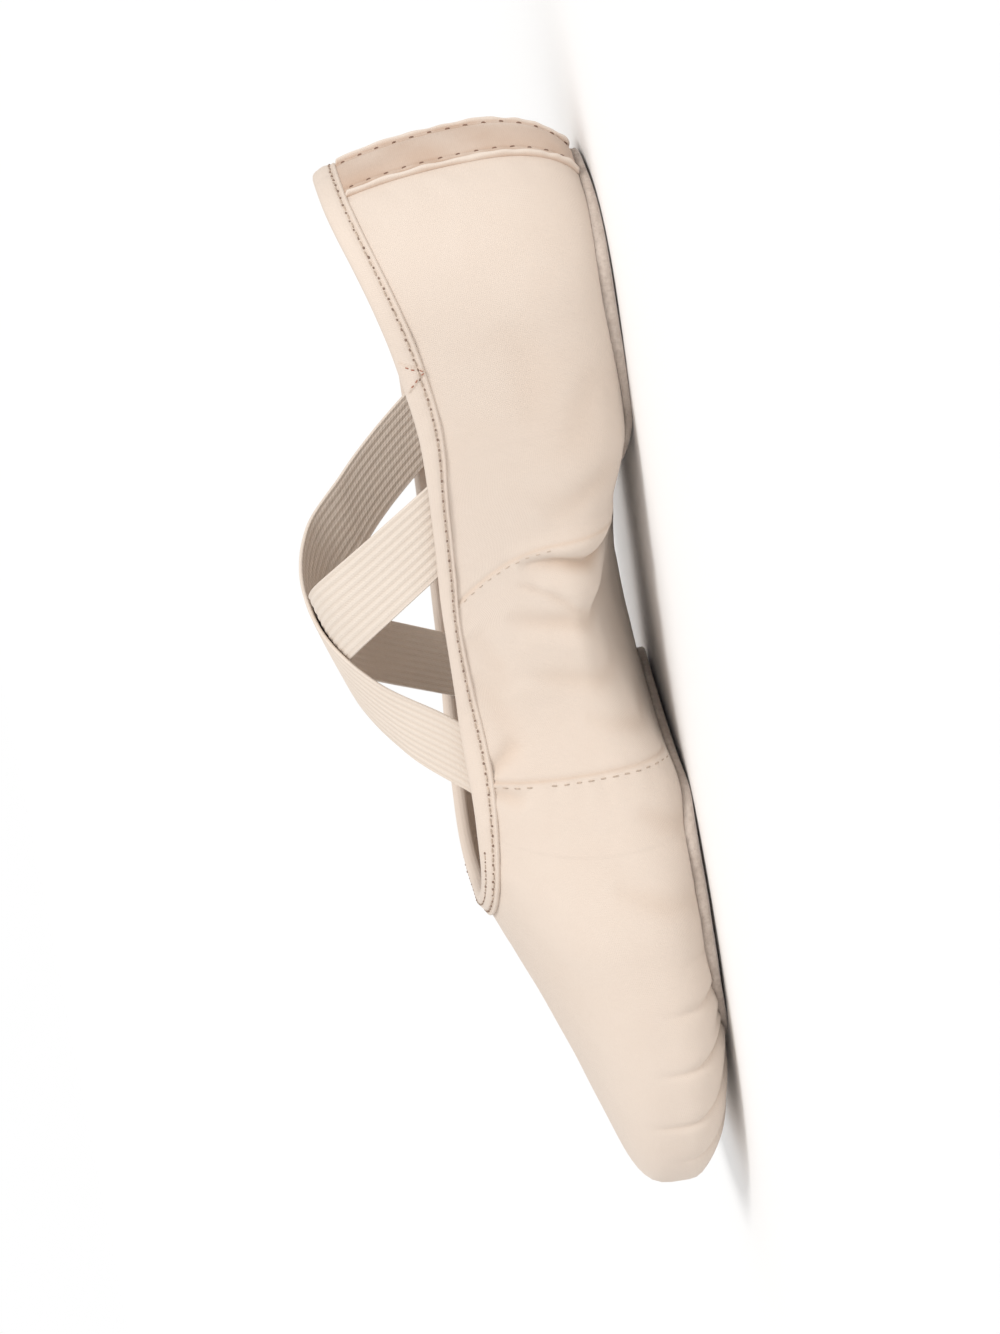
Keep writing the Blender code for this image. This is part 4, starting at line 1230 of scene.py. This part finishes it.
# Stitches of the collar, of the arch seams and of the heel strip
binding_tree = surface_tree(binding)
upper_tree = surface_tree(upper)
whole_ribs, whole_sides = loop_ribs((0.0, 13.0, 0.12), (13.0, 19.0, 0.1))
collar = collar_path(STITCH_DEPTH, whole_ribs, whole_sides)
collar = np.concatenate((collar, collar[:1]))
throat_ribs = np.arange(THROAT_FROM, LAST_RIB, 0.1)
throat_ribs = np.concatenate((throat_ribs, np.arange(LAST_RIB, THROAT_FROM, -0.1)))
throat_sides = np.where(np.arange(len(throat_ribs)) < len(throat_ribs) // 2, 1.0, -1.0)
throat_row = collar_path(THROAT_STITCH_DEPTH, throat_ribs, throat_sides)
sew("collar_stitches", binding_tree, [collar, throat_row], STITCH_PITCH, 1.7 * MM, 0.16 * MM,
    threads["thread"], "binding")
# Small dark dots over the collar's stitch rows, standing for the shadow inside the needle holes: painted
# shade
shadow_dots = []
for path in (collar, throat_row):
    for centre, way, normal in on_surface(binding_tree, path, STITCH_PITCH, 0.0):
        size = RANDOM.uniform(0.16, 0.25) * MM
        long = RANDOM.uniform(0.5, 0.8) * MM
        shadow_dots.append(stitch(centre + normal * 0.02 * MM, way, normal, long, size, 0.05 * MM))
dress(joined("collar_needle_holes", shadow_dots), threads["needle_shadow"], "binding")
sew("binding_join_stitches", binding_tree, [join_arm(-1), join_arm(1)], 1.25 * MM, 1.0 * MM, 0.15 * MM,
    threads["join_thread"], "binding")

seam_paths, faint_paths = [], []
for side in (1, -1):
    knots = [(rib + 0.07, max(level, -0.9)) for rib, level in FRONT_SEAM]
    seam_paths.append(surface_path(side, knots, 120))
    knots = [(rib + 0.05, level) for rib, level in REAR_SEAM]
    faint_paths.append(surface_path(side, knots, 120))
sew("front_seam_stitches", upper_tree, seam_paths, 2.6 * MM, 1.6 * MM, 0.16 * MM, threads["thread"],
    "canvas")
sew("rear_seam_stitches", upper_tree, faint_paths, 2.4 * MM, 1.3 * MM, 0.11 * MM, threads["pale_thread"],
    "canvas")

strip_line = 1 - STRIP_STITCH_AT / (HEEL_STRIP_WIDTH / 2)
strip_bed = strip_grid((-strip_line, -strip_line + 0.1, strip_line - 0.1, strip_line), 60)
strip_bed = strip_bed + grid_normals(strip_bed, False) * 2.0 * MM
sew("strip_stitches", surface_tree(strip), [strip_bed[0], strip_bed[3]], STRIP_PITCH, 1.25 * MM, 0.20 * MM,
    threads["strip_thread"], "strip")


def add_object(name, data):
    """A new object of the studio."""
    thing = bpy.data.objects.new(name, data)
    bpy.context.scene.collection.objects.link(thing)
    return thing


def floor():
    """A wide pale floor."""
    nodes = Nodes(bpy.data.materials.new("floor_paper"))
    noise = nodes.add("TexNoise", {"Scale": 3.0, "Detail": 2.0}, "Fac")
    colour = nodes.mix(noise, (0.91, 0.91, 0.91), (0.93, 0.93, 0.93))
    nodes.put(nodes.shader, {"Base Color": colour, "Roughness": 0.9, "Specular IOR Level": 0.1})
    mesh = bpy.data.meshes.new("floor")
    work = bmesh.new()
    bmesh.ops.create_circle(work, cap_ends=True, segments=96, radius=FLOOR_RADIUS)
    work.to_mesh(mesh)
    work.free()
    mesh.materials.append(nodes.owner)
    add_object("floor", mesh)


def direction(azimuth, elevation):
    """The way from the shoe to a point seen at an azimuth and an elevation, in degrees."""
    a, e = math.radians(azimuth), math.radians(elevation)
    return Vector((math.sin(a) * math.cos(e), -math.cos(a) * math.cos(e), math.sin(e)))


def sun_light(name, azimuth, elevation, power, spread, colour):
    """A soft sun, so that the floor is lit evenly however wide it is."""
    data = bpy.data.lights.new(name, "SUN")
    data.energy = power
    data.angle = math.radians(spread)
    data.color = colour
    lamp = add_object(name, data)
    lamp.location = AIM + direction(azimuth, elevation)
    lamp.rotation_euler = (AIM - lamp.location).to_track_quat("-Z", "Y").to_euler()


def studio():
    """Soft light from the camera's side and from above, in a white surround."""
    for sun in SUNS:
        sun_light(*sun)
    nodes = Nodes(bpy.data.worlds.new("surround"))
    light = nodes.tree.nodes["Background"]
    nodes.put(light, {"Color": SURROUND, "Strength": SURROUND_STRENGTH})
    seen = nodes.add("Background", {"Color": (1.0, 1.0, 1.0)})
    by_camera = nodes.add("LightPath", {}, "Is Camera Ray")
    mixed = nodes.add("MixShader", {0: by_camera, 1: light.outputs[0], 2: seen})
    nodes.put(nodes.tree.nodes["World Output"], {"Surface": mixed})
    bpy.context.scene.world = nodes.owner
    bpy.context.scene.view_settings.view_transform = "Standard"


def camera():
    """The photograph's side of the shoe, heel up and toe down, just above the floor."""
    data = bpy.data.cameras.new("camera")
    data.sensor_width = SENSOR
    data.lens = SENSOR * CAMERA_DISTANCE / FRAME_HEIGHT
    data.clip_start = 0.05
    data.clip_end = 60
    way = direction(CAMERA_AZIMUTH, CAMERA_ELEVATION)
    heelward = Vector((-1, 0, 0))
    up = (heelward - way * heelward.dot(way)).normalized()
    right = up.cross(way)
    lean = math.radians(CAMERA_LEAN)
    up, right = up * math.cos(lean) + right * math.sin(lean), right * math.cos(lean) - up * math.sin(lean)
    turn = Matrix((right, up, way)).transposed().to_4x4()
    eye = add_object("camera", data)
    eye.matrix_world = Matrix.Translation(AIM + way * CAMERA_DISTANCE) @ turn
    bpy.context.scene.camera = eye


floor()
studio()
camera()
